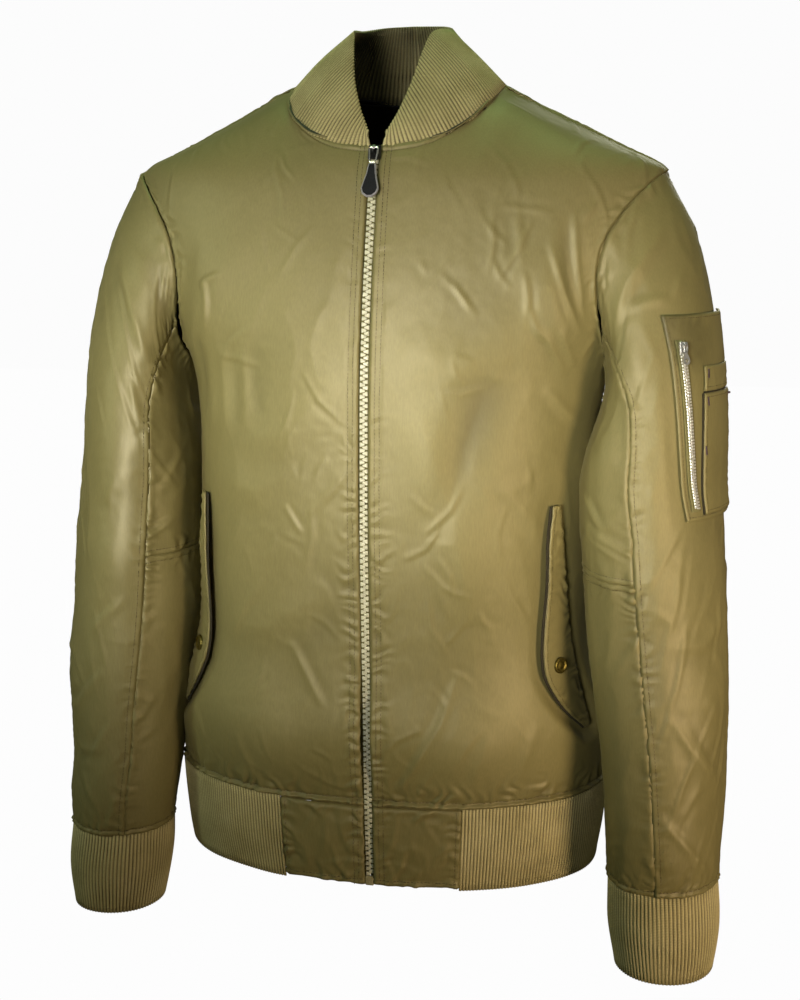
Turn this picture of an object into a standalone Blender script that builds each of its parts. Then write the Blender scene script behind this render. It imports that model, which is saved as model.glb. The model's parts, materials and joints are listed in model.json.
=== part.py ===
"""Bomber jacket, worn: a hollow cloth shell with knitted collar, cuffs and hem.

Frame: metres, +X to the wearer's left, -Y to the front, +Z up.  The origin is at
the base of the neck, level with the neck ends of the shoulder seams, where the
wearer's shoulders carry the jacket.
"""
import math

import bmesh
import bpy
import numpy as np

# ---------------------------------------------------------------- driving sizes
CLOTH = 0.0020            # thickness of the shell cloth with its backing
KNIT = 0.0026             # thickness of the knitted bands, without the ribs
RIB = 0.0007              # how far a knitted rib stands up
SEAM_GAP = 0.0002         # each panel stops this far short of its seam line
UNDERARM_GAP = 0.0012     # the same at the underarm, where the seam twists
FRONT_EDGE = 0.0048       # half the channel between the two front edges

HEM_SEAM = -0.628         # height of the seam between body and hem band
HEM_END = -0.705          # lower edge of the hem band
CUFF_SEAM = -0.690        # height of the seams between sleeves and cuffs
CUFF_END = -0.768
ELBOW_SEAM = -0.418
NECK_SIDE = 0.0945        # half the width of the neck hole at the shoulder seams
SHOULDER_TIP = 0.237      # half the distance between the two sleeve heads

HEM_RIBS = 228
CUFF_RIBS = 68
COLLAR_RIBS = 160
HEM_PANEL = 0.078         # width of each cloth panel at the front of the hem band

# The body, level by level: half width, front and back (Y), roundness of the section.
BODY = {
    "z": (-0.720, -0.690, -0.640, -0.580, -0.530, -0.475, -0.380, -0.300, -0.250, -0.220,
          -0.180, -0.140, -0.110, -0.078, -0.062, -0.045, -0.025, -0.005),
    "half_width": (0.192, 0.199, 0.203, 0.198, 0.189, 0.180, 0.178, 0.180, 0.188, 0.202,
                   0.221, 0.237, 0.244, 0.237, 0.206, 0.173, 0.133, 0.0945),
    "front": (-0.119, -0.121, -0.126, -0.129, -0.131, -0.134, -0.138, -0.137, -0.135, -0.131,
              -0.124, -0.115, -0.107, -0.098, -0.089, -0.080, -0.066, -0.050),
    "back": (0.108, 0.112, 0.118, 0.114, 0.107, 0.103, 0.106, 0.120, 0.127, 0.130,
             0.132, 0.131, 0.128, 0.122, 0.115, 0.107, 0.094, 0.078),
    "roundness": (2.15, 2.15, 2.2, 2.25, 2.35, 2.4, 2.45, 2.4, 2.35, 2.3,
                  2.2, 2.15, 2.1, 2.05, 2.0, 2.0, 2.0, 2.0),
    "centre": (-0.006, -0.006, -0.006, -0.006, -0.005, -0.003, -0.002, -0.001, 0.0, 0.0,
               0.0, 0.0, 0.0, 0.0, 0.0, 0.0, 0.0, 0.0),
}
# The seam line of the neck, from the front middle (0) to the back middle (180 degrees).
NECK = {
    "turn": (0, 18, 36, 54, 72, 90, 118, 150, 180),
    "x": (0.0048, 0.0330, 0.0580, 0.0780, 0.0905, 0.0945, 0.0860, 0.0480, 0.0),
    "y": (-0.0865, -0.0845, -0.0775, -0.0640, -0.0400, 0.0, 0.0385, 0.0745, 0.0840),
    "z": (-0.0590, -0.0560, -0.0490, -0.0360, -0.0190, -0.0050, -0.0075, -0.0130, -0.0160),
}
# The free edge of the collar, by the same turn.
COLLAR_TOP = {
    "turn": (0, 18, 36, 54, 72, 90, 118, 150, 180),
    "x": (0.0078, 0.0180, 0.0265, 0.0320, 0.0365, 0.0410, 0.0420, 0.0275, 0.0),
    "y": (-0.0845, -0.0730, -0.0600, -0.0440, -0.0230, 0.0020, 0.0360, 0.0620, 0.0700),
    "z": (-0.0500, -0.0290, -0.0040, 0.0200, 0.0370, 0.0415, 0.0440, 0.0490, 0.0505),
}
# The armhole, an oval in side view from the underarm (-90) to the shoulder tip (90).
ARMHOLE = {"y": 0.002, "z": -0.163, "height": 0.085, "to_front": 0.078, "to_back": 0.090}
NECK_NODES = (0, 18, 36, 54, 72, 90, 112, 134, 150, 165, 180)   # turns with a panel column
SHOULDER_STEPS = 6        # panel columns along each shoulder seam
ARMHOLE_STEPS = 10        # panel rows along each half of an armhole
SIDE_STEPS = 8            # panel rows from the hem up to the underarm
UNDERARM = 0.62           # share of a panel's height that lies below the underarm

# The arm line below the sleeve head: middle, half sizes and twist of each section.
SLEEVE = {
    "z": (-0.300, -0.340, -0.385, -0.418, -0.480, -0.535, -0.585, -0.630, -0.665, -0.690),
    "x": (0.2305, 0.2340, 0.2376, 0.2396, 0.2432, 0.2485, 0.2515, 0.2530, 0.2545, 0.2550),
    "y": (-0.031, -0.036, -0.042, -0.047, -0.055, -0.062, -0.067, -0.070, -0.072, -0.073),
    "half_x": (0.0585, 0.0582, 0.0592, 0.0600, 0.0595, 0.0564, 0.0535, 0.0515, 0.0500, 0.0480),
    "half_y": (0.080, 0.079, 0.077, 0.075, 0.072, 0.069, 0.065, 0.061, 0.058, 0.053),
    "twist": (14, 13, 12, 11, 10, 9, 7, 6, 5, 5),
}
CUFF = {
    "z": (-0.768, -0.740, -0.710, -0.690),
    "x": (0.2585, 0.2575, 0.2560, 0.2550),
    "y": (-0.077, -0.076, -0.074, -0.073),
    "half_x": (0.0430, 0.0465, 0.0480, 0.0475),
    "half_y": (0.0460, 0.0500, 0.0520, 0.0520),
    "twist": (5, 5, 5, 5),
}
# The right arm hangs a little further out and back than the left one, and is slimmer above.
ARM_SHIFT = {
    "z": (-0.768, -0.690, -0.585, -0.418, -0.300),
    "out": (0.0090, 0.0060, -0.0010, 0.0020, 0.0065),
    "back": (0.0260, 0.0230, 0.0180, 0.0100, 0.0060),
    "slimmer": (0.0, 0.0, 0.0010, 0.0025, 0.0045),
}
CAP_STEPS = 5             # panel rows over the sleeve head
CAP_END = -0.340
SLEEVE_LEVELS = (-0.340, -0.382, ELBOW_SEAM, -0.468, -0.514, -0.562, -0.610, -0.656, CUFF_SEAM)
ELBOW_ROW = CAP_STEPS + 2
SEAM_STEPS = 3            # armhole steps from the underarm to each sleeve seam
SEAM_TURN = {"left": (0.245, 0.735), "right": (0.300, 0.735)}   # front and back seam, in turns
SEAM_SETTLED = 0.30       # share of the sleeve by which the seams have reached those turns

# Main folds.  On the body: panel, distance from the middle and height at both ends.
BODY_FOLDS = (
    # panel, x and z at the start, x and z at the end, width, height
    ("front", 0.172, -0.232, 0.128, -0.150, 0.011, 0.0050),
    ("front", 0.174, -0.245, 0.150, -0.135, 0.009, 0.0040),
    ("front", 0.166, -0.262, 0.085, -0.235, 0.024, -0.0035),
    ("front", 0.030, -0.560, 0.160, -0.600, 0.018, 0.0040),
    ("front", 0.060, -0.500, 0.165, -0.545, 0.018, 0.0030),
    ("front", 0.150, -0.360, 0.152, -0.500, 0.009, -0.0035),
    ("back", 0.165, -0.240, 0.100, -0.150, 0.018, 0.0050),
    ("back", 0.160, -0.290, 0.050, -0.330, 0.024, 0.0050),
    ("back", 0.030, -0.570, 0.160, -0.595, 0.020, 0.0050),
    ("back", 0.020, -0.500, 0.150, -0.520, 0.020, 0.0040),
)
# On a sleeve they run between two points (turn round the arm, share down the sleeve).
SLEEVE_FOLDS = (
    # turn and share at the start, turn and share at the end, width, height
    (0.38, 0.10, 0.22, 0.03, 0.016, 0.0055),
    (0.39, 0.18, 0.22, 0.13, 0.018, 0.0050),
    (0.38, 0.27, 0.22, 0.36, 0.014, 0.0040),
    (0.44, 0.46, 0.22, 0.52, 0.016, 0.0040),
    (0.40, 0.57, 0.16, 0.53, 0.014, 0.0035),
    (0.14, 0.66, -0.06, 0.76, 0.014, 0.0045),
    (0.16, 0.74, -0.06, 0.84, 0.014, 0.0045),
    (0.20, 0.90, -0.05, 0.86, 0.013, 0.0040),
    (0.40, 0.88, 0.22, 0.92, 0.013, 0.0040),
    (0.64, 0.14, 0.84, 0.06, 0.018, 0.0055),
    (0.64, 0.50, 0.84, 0.46, 0.018, 0.0050),
    (0.62, 0.80, 0.82, 0.88, 0.015, 0.0045),
)

# Slanted side pockets, on the front panels (share across and up, stand-off at the free edge).
POCKET_FLAP = {
    "along": (0.0, 0.15, 0.35, 0.55, 0.75, 0.90, 1.0),
    "across": (0.890, 0.905, 0.922, 0.938, 0.951, 0.960, 0.965),
    "up": (0.437, 0.390, 0.325, 0.260, 0.195, 0.140, 0.100),
    "width": (0.006, 0.012, 0.016, 0.022, 0.026, 0.016, 0.004),
    "lift": (0.0015, 0.0040, 0.0050, 0.0050, 0.0055, 0.0035, 0.0015),
}
FLAP_CLOTH = 0.0016
SNAP_ALONG = 0.72
SNAP_RADIUS = 0.0072
SNAP_THICK = 0.0018

# Utility pocket on the left sleeve (turn round the arm and height at its corners).
ARM_POCKET = {"front": (0.165, 0.122), "back": (-0.055, -0.050), "top": -0.197, "bottom": -0.366}
PEN_POCKET = {"front": (0.082, 0.078), "back": (-0.035, -0.032), "top": -0.262, "bottom": -0.362}
PEN_UPPER = {"front": (0.082, 0.082), "back": (-0.020, -0.020), "top": -0.240, "bottom": -0.2605}
ARM_ZIP_TURN = (0.136, 0.101)
ARM_ZIP_TOP = -0.218
ARM_ZIP_END = -0.358
PATCH_CLOTH = 0.0014
PATCH_LIFT = 0.0012
LAYER_GAP = 0.0005        # between one layer of cloth and the next
LINING_CLOTH = 0.0010
LINING_FROM = 0.80        # lowest share of the back panel's height that is lined
LINING_ACROSS = 0.62

# The front zip, level by level behind the front edges.
TAPE_WIDTH = 0.0130       # from the middle to the tape's outer edge
TAPE_THICK = 0.0008
TAPE_DEPTH = 0.0030       # behind the outer face of the fronts
CHAIN_HALF = 0.0033
CHAIN_THICK = 0.0020
CHAIN_DEPTH = 0.0004
ZIP_TOP = -0.0625         # upper end of the tapes
ZIP_BOX = (0.0074, 0.0034, 0.0085)
SLIDER_SIZE = (0.0108, 0.0030, 0.0125)
SLIDER_TOP = -0.0600
SLIDER_LIFT = 0.0028      # its middle, out from the front edges
SLIDER_BEVEL = 0.22       # share of a slider's thickness
BRIDGE_PLACE = 0.22       # share of a slider's length that the arch stands above its middle
BRIDGE_GAP = 0.0004       # between a slider's body and its arch
BRIDGE_HALF = 0.0011
BRIDGE = {
    "lift": (0.0006, 0.0030, 0.0038, 0.0030, 0.0006),
    "along": (-0.0026, -0.0018, 0.0, 0.0018, 0.0026),
    "inner_shift": (0.0007, 0.00063, 0.0, -0.00063, -0.0007),
}
BRIDGE_THICK = 0.0009
PIVOT_LIFT = 0.0017       # pull hinge, out from the slider's body
WIRE = 0.0007             # radius of the pulls' wires

# Main pull: a wire loop and a leather tab, by distance below the hinge.
LOOP = {"top_half": 0.0038, "bottom_half": 0.0026, "length": 0.0135}
TAB = {
    "along": (0.0, 0.12, 0.30, 0.55, 0.75, 0.90, 1.0),
    "half_width": (0.0030, 0.0037, 0.0043, 0.0062, 0.0076, 0.0062, 0.0022),
}
TAB_LENGTH = 0.0300
ARM_SLIDER_SIZE = (0.0076, 0.0022, 0.0095)
ARM_PULL_LENGTH = 0.0135  # from the hinge to the middle of the pull's hole
ARM_PULL_END = 0.0034     # outer and inner radius of the pull's round end
ARM_PULL_HOLE = 0.0017
ARM_PULL_THICK = 0.0012
ARM_WIRE = 0.00055
ARM_BAIL = {"top_half": 0.0020, "bottom_half": 0.0016, "corner": 0.0006}
ARM_BRIDGE_HALF = 0.0010
ARM_TAPE_HALF = 0.0045
ARM_CHAIN_HALF = 0.0026
ARM_CHAIN_THICK = 0.0014
ROUND_ARM = 0.43          # girth and length over which sleeve folds are laid out
ARM_LENGTH = 0.55
TAB_THICK = 0.0026

COLOURS = {
    "satin": ("8A7F4C", 0.38, 0.0),
    "knit": ("8D8453", 0.85, 0.0),
    "tape": ("6B6238", 0.80, 0.0),
    "teeth": ("B4AD86", 0.45, 0.0),
    "arm_teeth": ("C9CAC6", 0.35, 0.6),
    "dark_metal": ("4A4A48", 0.35, 1.0),
    "chrome": ("C4C6C8", 0.15, 1.0),
    "brass": ("7E7440", 0.40, 1.0),
    "leather": ("23242E", 0.50, 0.0),
    "lining": ("0B0B0B", 0.70, 0.0),
}


# ---------------------------------------------------------------- small helpers
def vec(*numbers):
    return np.array(numbers, dtype=float)


def unit(vector):
    length = np.linalg.norm(vector)
    return vector / length if length > 1e-12 else vector


def read(table, column, at):
    """Smooth value of a table's column (monotone cubic through its rows)."""
    key = "turn" if "turn" in table else "along" if "along" in table else "z"
    knots = np.array(table[key], dtype=float)
    values = np.array(table[column], dtype=float)
    if knots[0] > knots[-1]:
        knots = knots[::-1]
        values = values[::-1]
    at = min(max(at, knots[0]), knots[-1])
    k = min(int(np.searchsorted(knots, at, side="right")) - 1, len(knots) - 2)
    steps = np.diff(knots)
    slopes = np.diff(values) / steps

    def tangent(i):
        if i == 0 or i == len(knots) - 1:
            return slopes[0] if i == 0 else slopes[-1]
        before, after = slopes[i - 1], slopes[i]
        if before * after <= 0:
            return 0.0
        return 2 * before * after / (before + after)

    h = steps[k]
    t = (at - knots[k]) / h
    start, end = values[k], values[k + 1]
    return ((2 * t**3 - 3 * t**2 + 1) * start + (t**3 - 2 * t**2 + t) * h * tangent(k)
            + (3 * t**2 - 2 * t**3) * end + (t**3 - t**2) * h * tangent(k + 1))


def mix(a, b, share):
    return a + (b - a) * share


def smooth_step(value):
    value = min(max(value, 0.0), 1.0)
    return value * value * (3 - 2 * value)


def fold_height(point, start, end, width):
    """Soft ridge between two points of a plane: 1 on its line, fading out."""
    along = end - start
    share = np.dot(point - start, along) / np.dot(along, along)
    inside = min(max(share, 0.0), 1.0)
    off = np.linalg.norm(point - start - along * inside)
    taper = math.sin(math.pi * min(max(0.08 + 0.84 * inside, 0.0), 1.0))
    return math.exp(-((off / width) ** 2)) * taper


def make_material(name):
    colour, roughness, metallic = COLOURS[name]
    material = bpy.data.materials.get(name)
    if material is None:
        material = bpy.data.materials.new(name)
        material.use_nodes = True
        shader = material.node_tree.nodes["Principled BSDF"]
        channels = [int(colour[i:i + 2], 16) / 255 for i in (0, 2, 4)]
        linear = [c / 12.92 if c <= 0.04045 else ((c + 0.055) / 1.055) ** 2.4 for c in channels]
        shader.inputs["Base Color"].default_value = (*linear, 1.0)
        shader.inputs["Roughness"].default_value = roughness
        shader.inputs["Metallic"].default_value = metallic
        material.diffuse_color = (*linear, 1.0)
    return material


def finish(name, bm, material, smooth_angle=40, parent=None):
    """Turn a bmesh into a named object with outward faces."""
    bmesh.ops.recalc_face_normals(bm, faces=bm.faces)
    if bm.calc_volume(signed=True) < 0:
        bmesh.ops.reverse_faces(bm, faces=bm.faces)
    mesh = bpy.data.meshes.new(name)
    bm.to_mesh(mesh)
    bm.free()
    mesh.shade_smooth()
    mesh.set_sharp_from_angle(angle=math.radians(smooth_angle))
    mesh.materials.append(make_material(material))
    thing = bpy.data.objects.new(name, mesh)
    bpy.context.scene.collection.objects.link(thing)
    if parent is not None:
        thing.parent = parent
        thing.matrix_parent_inverse = parent.matrix_world.inverted()
    return thing


# ---------------------------------------------------------------- the body surface
def body_y(x, z, face):
    """Depth of the body's surface over a point of the front view."""
    half = read(BODY, "half_width", z)
    power = read(BODY, "roundness", z)
    inside = min(abs(x - read(BODY, "centre", z)) / half, 1.0)
    return read(BODY, face, z) * (1 - inside**power) ** (1 / power)


def body_x(y, z, face):
    """Distance from the middle at which the body's surface has depth y."""
    power = read(BODY, "roundness", z)
    inside = min(abs(y / read(BODY, face, z)), 1.0)
    return read(BODY, "half_width", z) * (1 - inside**power) ** (1 / power)


def crest_height(x):
    """Height of the shoulder seam at a distance from the middle."""
    low, high = BODY["z"][-5], BODY["z"][-1]
    for _ in range(40):
        middle = (low + high) / 2
        if read(BODY, "half_width", middle) > x:
            low = middle
        else:
            high = middle
    return (low + high) / 2


def neck_turn(x, face):
    """Turn at which the neck seam is x from the middle."""
    low, high = (0.0, 90.0) if face == "front" else (90.0, 180.0)
    for _ in range(40):
        middle = (low + high) / 2
        wider = read(NECK, "x", middle) > x
        if wider == (face == "front"):
            high = middle
        else:
            low = middle
    return (low + high) / 2


def side_edge(face, side, up):
    """Outer edge of a body panel: the side seam, then the armhole."""
    if up <= UNDERARM:
        z = mix(HEM_SEAM, ARMHOLE["z"] - ARMHOLE["height"], up / UNDERARM)
        x = read(BODY, "half_width", z) + side * read(BODY, "centre", z)
        return vec(x, 0.0, z)
    angle = math.radians(-90 + 180 * (up - UNDERARM) / (1 - UNDERARM))
    z = ARMHOLE["z"] + ARMHOLE["height"] * math.sin(angle)
    reach = ARMHOLE["to_front"] if face == "front" else ARMHOLE["to_back"]
    y = reach * math.cos(angle) * (-1 if face == "front" else 1)
    y += ARMHOLE["y"] * math.cos(angle)
    x = body_x(y, z, face) + side * read(BODY, "centre", z)
    return vec(x, y, z)


def top_edge(face, across):
    """Upper edge of a body panel: the neck seam, then the shoulder seam."""
    inner = FRONT_EDGE if face == "front" else 0.0
    x = mix(inner, SHOULDER_TIP, across)
    if x < NECK_SIDE:
        turn = neck_turn(x, face)
        return vec(x, read(NECK, "y", turn), read(NECK, "z", turn))
    return vec(x, 0.0, crest_height(x))


def body_relief(face, x, z):
    """Height of the folds at a place of the front or back view."""
    here = vec(x, z)
    total = 0.0
    for panel, x0, z0, x1, z1, width, height in BODY_FOLDS:
        if panel == face:
            total += height * fold_height(here, vec(x0, z0), vec(x1, z1), width)
    return total


def body_point(face, side, across, up, folded=True):
    """Point of a body panel; side is 1 on the wearer's left and -1 on the right."""
    edge = side_edge(face, side, up)
    tip = side_edge(face, side, 1.0)
    top = top_edge(face, across)
    inner = FRONT_EDGE if face == "front" else 0.0
    x = mix(inner, edge[0], across)
    z = mix(HEM_SEAM, top[2], up)
    z += across**2 * (edge[2] - mix(HEM_SEAM, tip[2], up))
    y = body_y(side * x, z, face)
    y += up**8 * (top[1] - body_y(side * top[0], top[2], face))
    if folded:
        fade = smooth_step((1 - across) * 9) * smooth_step((1 - up) * 10) * smooth_step(up * 14)
        y += (-1 if face == "front" else 1) * fade * body_relief(face, x, z)
    return vec(side * x, y, z)


def neck_columns():
    """Panel columns: at the neck seam's turns, then out to the sleeve head."""
    span = SHOULDER_TIP - FRONT_EDGE
    neck = [(read(NECK, "x", turn) - FRONT_EDGE) / span for turn in NECK_NODES if turn <= 90]
    return neck + shoulder_columns(neck[-1])


def back_columns():
    neck = [read(NECK, "x", turn) / SHOULDER_TIP for turn in reversed(NECK_NODES) if turn >= 90]
    return neck + shoulder_columns(neck[-1])


def shoulder_columns(start):
    """Columns from the neck out to the sleeve head, closer together near the sleeve."""
    first = math.asin(start)
    return [math.sin(mix(first, math.pi / 2, i / SHOULDER_STEPS)) for i in range(1, SHOULDER_STEPS + 1)]


def panel_rows():
    below = [UNDERARM * i / SIDE_STEPS for i in range(SIDE_STEPS)]
    above = [mix(UNDERARM, 1.0, i / ARMHOLE_STEPS) for i in range(ARMHOLE_STEPS + 1)]
    return below + above


# ---------------------------------------------------------------- the sleeve surface
def arm_section(side, turn, z, table):
    """Point of a sleeve or cuff section: turn 0 is outermost, 0.25 to the front."""
    angle = 2 * math.pi * turn
    slimmer = read(ARM_SHIFT, "slimmer", z) if side < 0 else 0.0
    a = (read(table, "half_x", z) - slimmer) * math.cos(angle)
    b = -read(table, "half_y", z) * math.sin(angle)
    twist = math.radians(read(table, "twist", z))
    x = read(table, "x", z) + a * math.cos(twist) + b * math.sin(twist)
    y = read(table, "y", z) - a * math.sin(twist) + b * math.cos(twist)
    if side < 0:
        x += read(ARM_SHIFT, "out", z)
        y += read(ARM_SHIFT, "back", z)
    return vec(side * x, y, z)


def armhole_point(side, turn):
    """Point of the armhole ring by the sleeve's own turn."""
    turn = turn % 1.0
    face = "front" if turn <= 0.5 else "back"
    rise = 1 - 2 * turn if face == "front" else 2 * turn - 1
    edge = side_edge(face, side, mix(UNDERARM, 1.0, rise))
    return vec(side * edge[0], edge[1], edge[2])


def sleeve_point(side, turn, down):
    """Point of a sleeve: down runs from 0 at the armhole to 1 at the cuff seam."""
    rows = CAP_STEPS + len(SLEEVE_LEVELS) - 1
    row = down * rows
    if row < CAP_STEPS:
        share = row / CAP_STEPS
        start = armhole_point(side, turn)
        end = arm_section(side, turn, CAP_END, SLEEVE)
        over = math.cos(2 * math.pi * turn)
        reach = np.linalg.norm(end - start)
        leave = unit(vec(side * (0.64 + 0.235 * over - 0.275 * over**2),
                         0.15 * (start[1] - ARMHOLE["y"]) / ARMHOLE["to_front"],
                         -0.60 - 0.135 * over - 0.135 * over**2)) * reach
        arrive = vec(side * 0.02, -0.10, -1.0) * reach * 0.9
        t = share
        point = ((2 * t**3 - 3 * t**2 + 1) * start + (t**3 - 2 * t**2 + t) * leave
                 + (3 * t**2 - 2 * t**3) * end + (t**3 - t**2) * arrive)
    else:
        k = min(int(row - CAP_STEPS), len(SLEEVE_LEVELS) - 2)
        z = mix(SLEEVE_LEVELS[k], SLEEVE_LEVELS[k + 1], row - CAP_STEPS - k)
        point = arm_section(side, turn, z, SLEEVE)
    return point + sleeve_out(side, turn, point) * sleeve_relief(turn, down)


def sleeve_out(side, turn, point):
    level = min(max(point[2], CUFF_SEAM), -0.30)
    middle = vec(read(SLEEVE, "x", level), read(SLEEVE, "y", level))
    if side < 0:
        middle = middle + vec(read(ARM_SHIFT, "out", level), read(ARM_SHIFT, "back", level))
    return unit(vec(point[0] - side * middle[0], point[1] - middle[1], 0.0))


def sleeve_relief(turn, down):
    """Height of the folds at a place on a sleeve."""
    total = 0.0
    fade = smooth_step(down * 9) * smooth_step((1 - down) * 9)
    turn = turn % 1.0
    for turn0, down0, turn1, down1, width, height in SLEEVE_FOLDS:
        place = turn - 1.0 if turn > 0.5 and turn1 < 0.0 else turn
        here = vec(place * ROUND_ARM, down * ARM_LENGTH)
        start = vec(turn0 * ROUND_ARM, down0 * ARM_LENGTH)
        end = vec(turn1 * ROUND_ARM, down1 * ARM_LENGTH)
        total += height * fold_height(here, start, end, width)
    return total * fade


def seam_turn(side_name, which, down):
    """Turn of the front (0) or back (1) sleeve seam at a place down the sleeve."""
    start = 0.5 - SEAM_STEPS / (2 * ARMHOLE_STEPS)
    if which == 1:
        start = 1.0 - start
    return mix(start, SEAM_TURN[side_name][which], smooth_step(down / SEAM_SETTLED))


# ---------------------------------------------------------------- walls from grids
def grid_normals(grid):
    """Unit normals of a grid of points, one-sided at its edges."""
    across = np.gradient(grid, axis=0)
    up = np.gradient(grid, axis=1)
    normals = np.cross(across, up)
    lengths = np.linalg.norm(normals, axis=2, keepdims=True)
    return normals / np.maximum(lengths, 1e-12)


def outward(grid, middle):
    """Normals of a grid, turned away from a point inside."""
    normals = grid_normals(grid)
    centre = grid[grid.shape[0] // 2, grid.shape[1] // 2]
    towards = normals[grid.shape[0] // 2, grid.shape[1] // 2]
    return normals if np.dot(towards, centre - middle) > 0 else -normals


def share_seam_normals(panels):
    """Give panels that meet at a seam the same normals there, so their walls mitre."""
    edges = {}
    for name, (grid, normals) in panels.items():
        wide, high = grid.shape[:2]
        for i in range(wide):
            for j in range(high):
                if i in (0, wide - 1) or j in (0, high - 1):
                    key = tuple(np.round(grid[i, j] / 0.0004).astype(int))
                    edges.setdefault(key, []).append((name, i, j))
    for places in edges.values():
        body, arm = vec(0.0, 0.0, 0.0), vec(0.0, 0.0, 0.0)
        for name, i, j in places:
            if name.startswith("sleeve"):
                arm += panels[name][1][i, j]
            else:
                body += panels[name][1][i, j]
        shared = unit(unit(body) + unit(arm))
        for name, i, j in places:
            own = panels[name][1][i, j]
            panels[name][1][i, j] = shared / max(np.dot(shared, own), 0.55)


def pull_back(points, gap, first_gap=None):
    """Bring the outer rows of a grid in from the seam by a small gap, its first row by its own."""
    moved = points.copy()
    for axis in (0, 1):
        for edge, inner in ((0, 1), (-1, -2)):
            edge_rows = np.take(points, edge, axis=axis)
            inner_rows = np.take(points, inner, axis=axis)
            step = inner_rows - edge_rows
            length = np.maximum(np.linalg.norm(step, axis=1, keepdims=True), 1e-9)
            first = first_gap is not None and (axis, edge) == (1, 0)
            shift = step / length * (first_gap if first else gap)
            if axis == 0:
                moved[edge] += shift
            else:
                moved[:, edge] += shift
    return moved


def wall(name, outer, inner, material, closed=False, smooth_angle=60):
    """A closed wall between two grids of points."""
    bm = bmesh.new()
    wide, high = outer.shape[:2]
    out_verts = [[bm.verts.new(outer[i, j]) for j in range(high)] for i in range(wide)]
    in_verts = [[bm.verts.new(inner[i, j]) for j in range(high)] for i in range(wide)]
    spans = wide if closed else wide - 1
    for i in range(spans):
        k = (i + 1) % wide
        for j in range(high - 1):
            bm.faces.new((out_verts[i][j], out_verts[k][j], out_verts[k][j + 1], out_verts[i][j + 1]))
            bm.faces.new((in_verts[i][j], in_verts[i][j + 1], in_verts[k][j + 1], in_verts[k][j]))
        bm.faces.new((out_verts[i][0], in_verts[i][0], in_verts[k][0], out_verts[k][0]))
        bm.faces.new((out_verts[i][-1], out_verts[k][-1], in_verts[k][-1], in_verts[i][-1]))
    if not closed:
        for i in (0, wide - 1):
            for j in range(high - 1):
                bm.faces.new((out_verts[i][j], out_verts[i][j + 1], in_verts[i][j + 1], in_verts[i][j]))
    return finish(name, bm, material, smooth_angle)


def ribbed_wall(name, surface, ribs, levels, closed, flat_rows=0):
    """A knitted band: upright ribs outside, plain inside.

    surface(share, level) gives the outer and the inner point of the band.
    Each rib is one outer point raised between two that are not, and the inside
    has one point for every second rib.  The ribs fade out over the flat rows.
    """
    bm = bmesh.new()
    columns = 2 * ribs if closed else 2 * ribs + 1
    outer = []
    inner = []
    for k in range(columns):
        share = k / (2 * ribs)
        column = []
        plain = []
        for row, level in enumerate(levels):
            out_point, in_point = surface(share, level)
            away = unit(out_point - in_point)
            if k % 2 and row >= flat_rows:
                out_point = out_point + away * RIB
            column.append(bm.verts.new(out_point))
            if k % 4 == 0:
                plain.append(bm.verts.new(in_point))
        outer.append(column)
        if k % 4 == 0:
            inner.append(plain)
    spans = columns if closed else columns - 1
    for k in range(spans):
        here, there = outer[k], outer[(k + 1) % columns]
        for row in range(len(levels) - 1):
            bm.faces.new((here[row], there[row], there[row + 1], here[row + 1]))
    for m in range(spans // 4):
        here, there = inner[m], inner[(m + 1) % len(inner)]
        for row in range(len(levels) - 1):
            bm.faces.new((here[row], here[row + 1], there[row + 1], there[row]))
        for row in (0, len(levels) - 1):
            ring = [outer[(4 * m + i) % columns][row] for i in range(5)]
            bm.faces.new((ring[0], ring[1], ring[2]))
            bm.faces.new((ring[2], ring[3], ring[4]))
            bm.faces.new((here[row], ring[0], ring[2]))
            bm.faces.new((here[row], ring[2], there[row]))
            bm.faces.new((there[row], ring[2], ring[4]))
    if not closed:
        for column, plain in ((outer[0], inner[0]), (outer[-1], inner[-1])):
            for row in range(len(levels) - 1):
                bm.faces.new((column[row], column[row + 1], plain[row + 1], plain[row]))
    return finish(name, bm, "knit", 30)


def box(name, centre, size, material, bevel, parent=None, turn=None):
    """A small block with rounded edges; turn is a 3x3 matrix."""
    bm = bmesh.new()
    bmesh.ops.create_cube(bm, size=1.0)
    for vert in bm.verts:
        vert.co = vec(*vert.co) * vec(*size)
    bmesh.ops.bevel(bm, geom=bm.edges[:], offset=bevel, segments=1, profile=0.5,
                    affect="EDGES", material=-1)
    for vert in bm.verts:
        place = vec(*vert.co)
        vert.co = centre + (place if turn is None else turn @ place)
    return finish(name, bm, material, 30, parent)


# ---------------------------------------------------------------- cut pieces
def body_panels():
    rows = panel_rows()
    grids = {}
    for side_name, side in (("left", 1), ("right", -1)):
        columns = neck_columns()
        grids["front_" + side_name] = np.array(
            [[body_point("front", side, across, up) for up in rows] for across in columns])
    half = back_columns()
    columns = [(-1, across) for across in half[:0:-1]] + [(1, across) for across in half]
    grids["back"] = np.array(
        [[body_point("back", side, across, up) for up in rows] for side, across in columns])
    return grids


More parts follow.
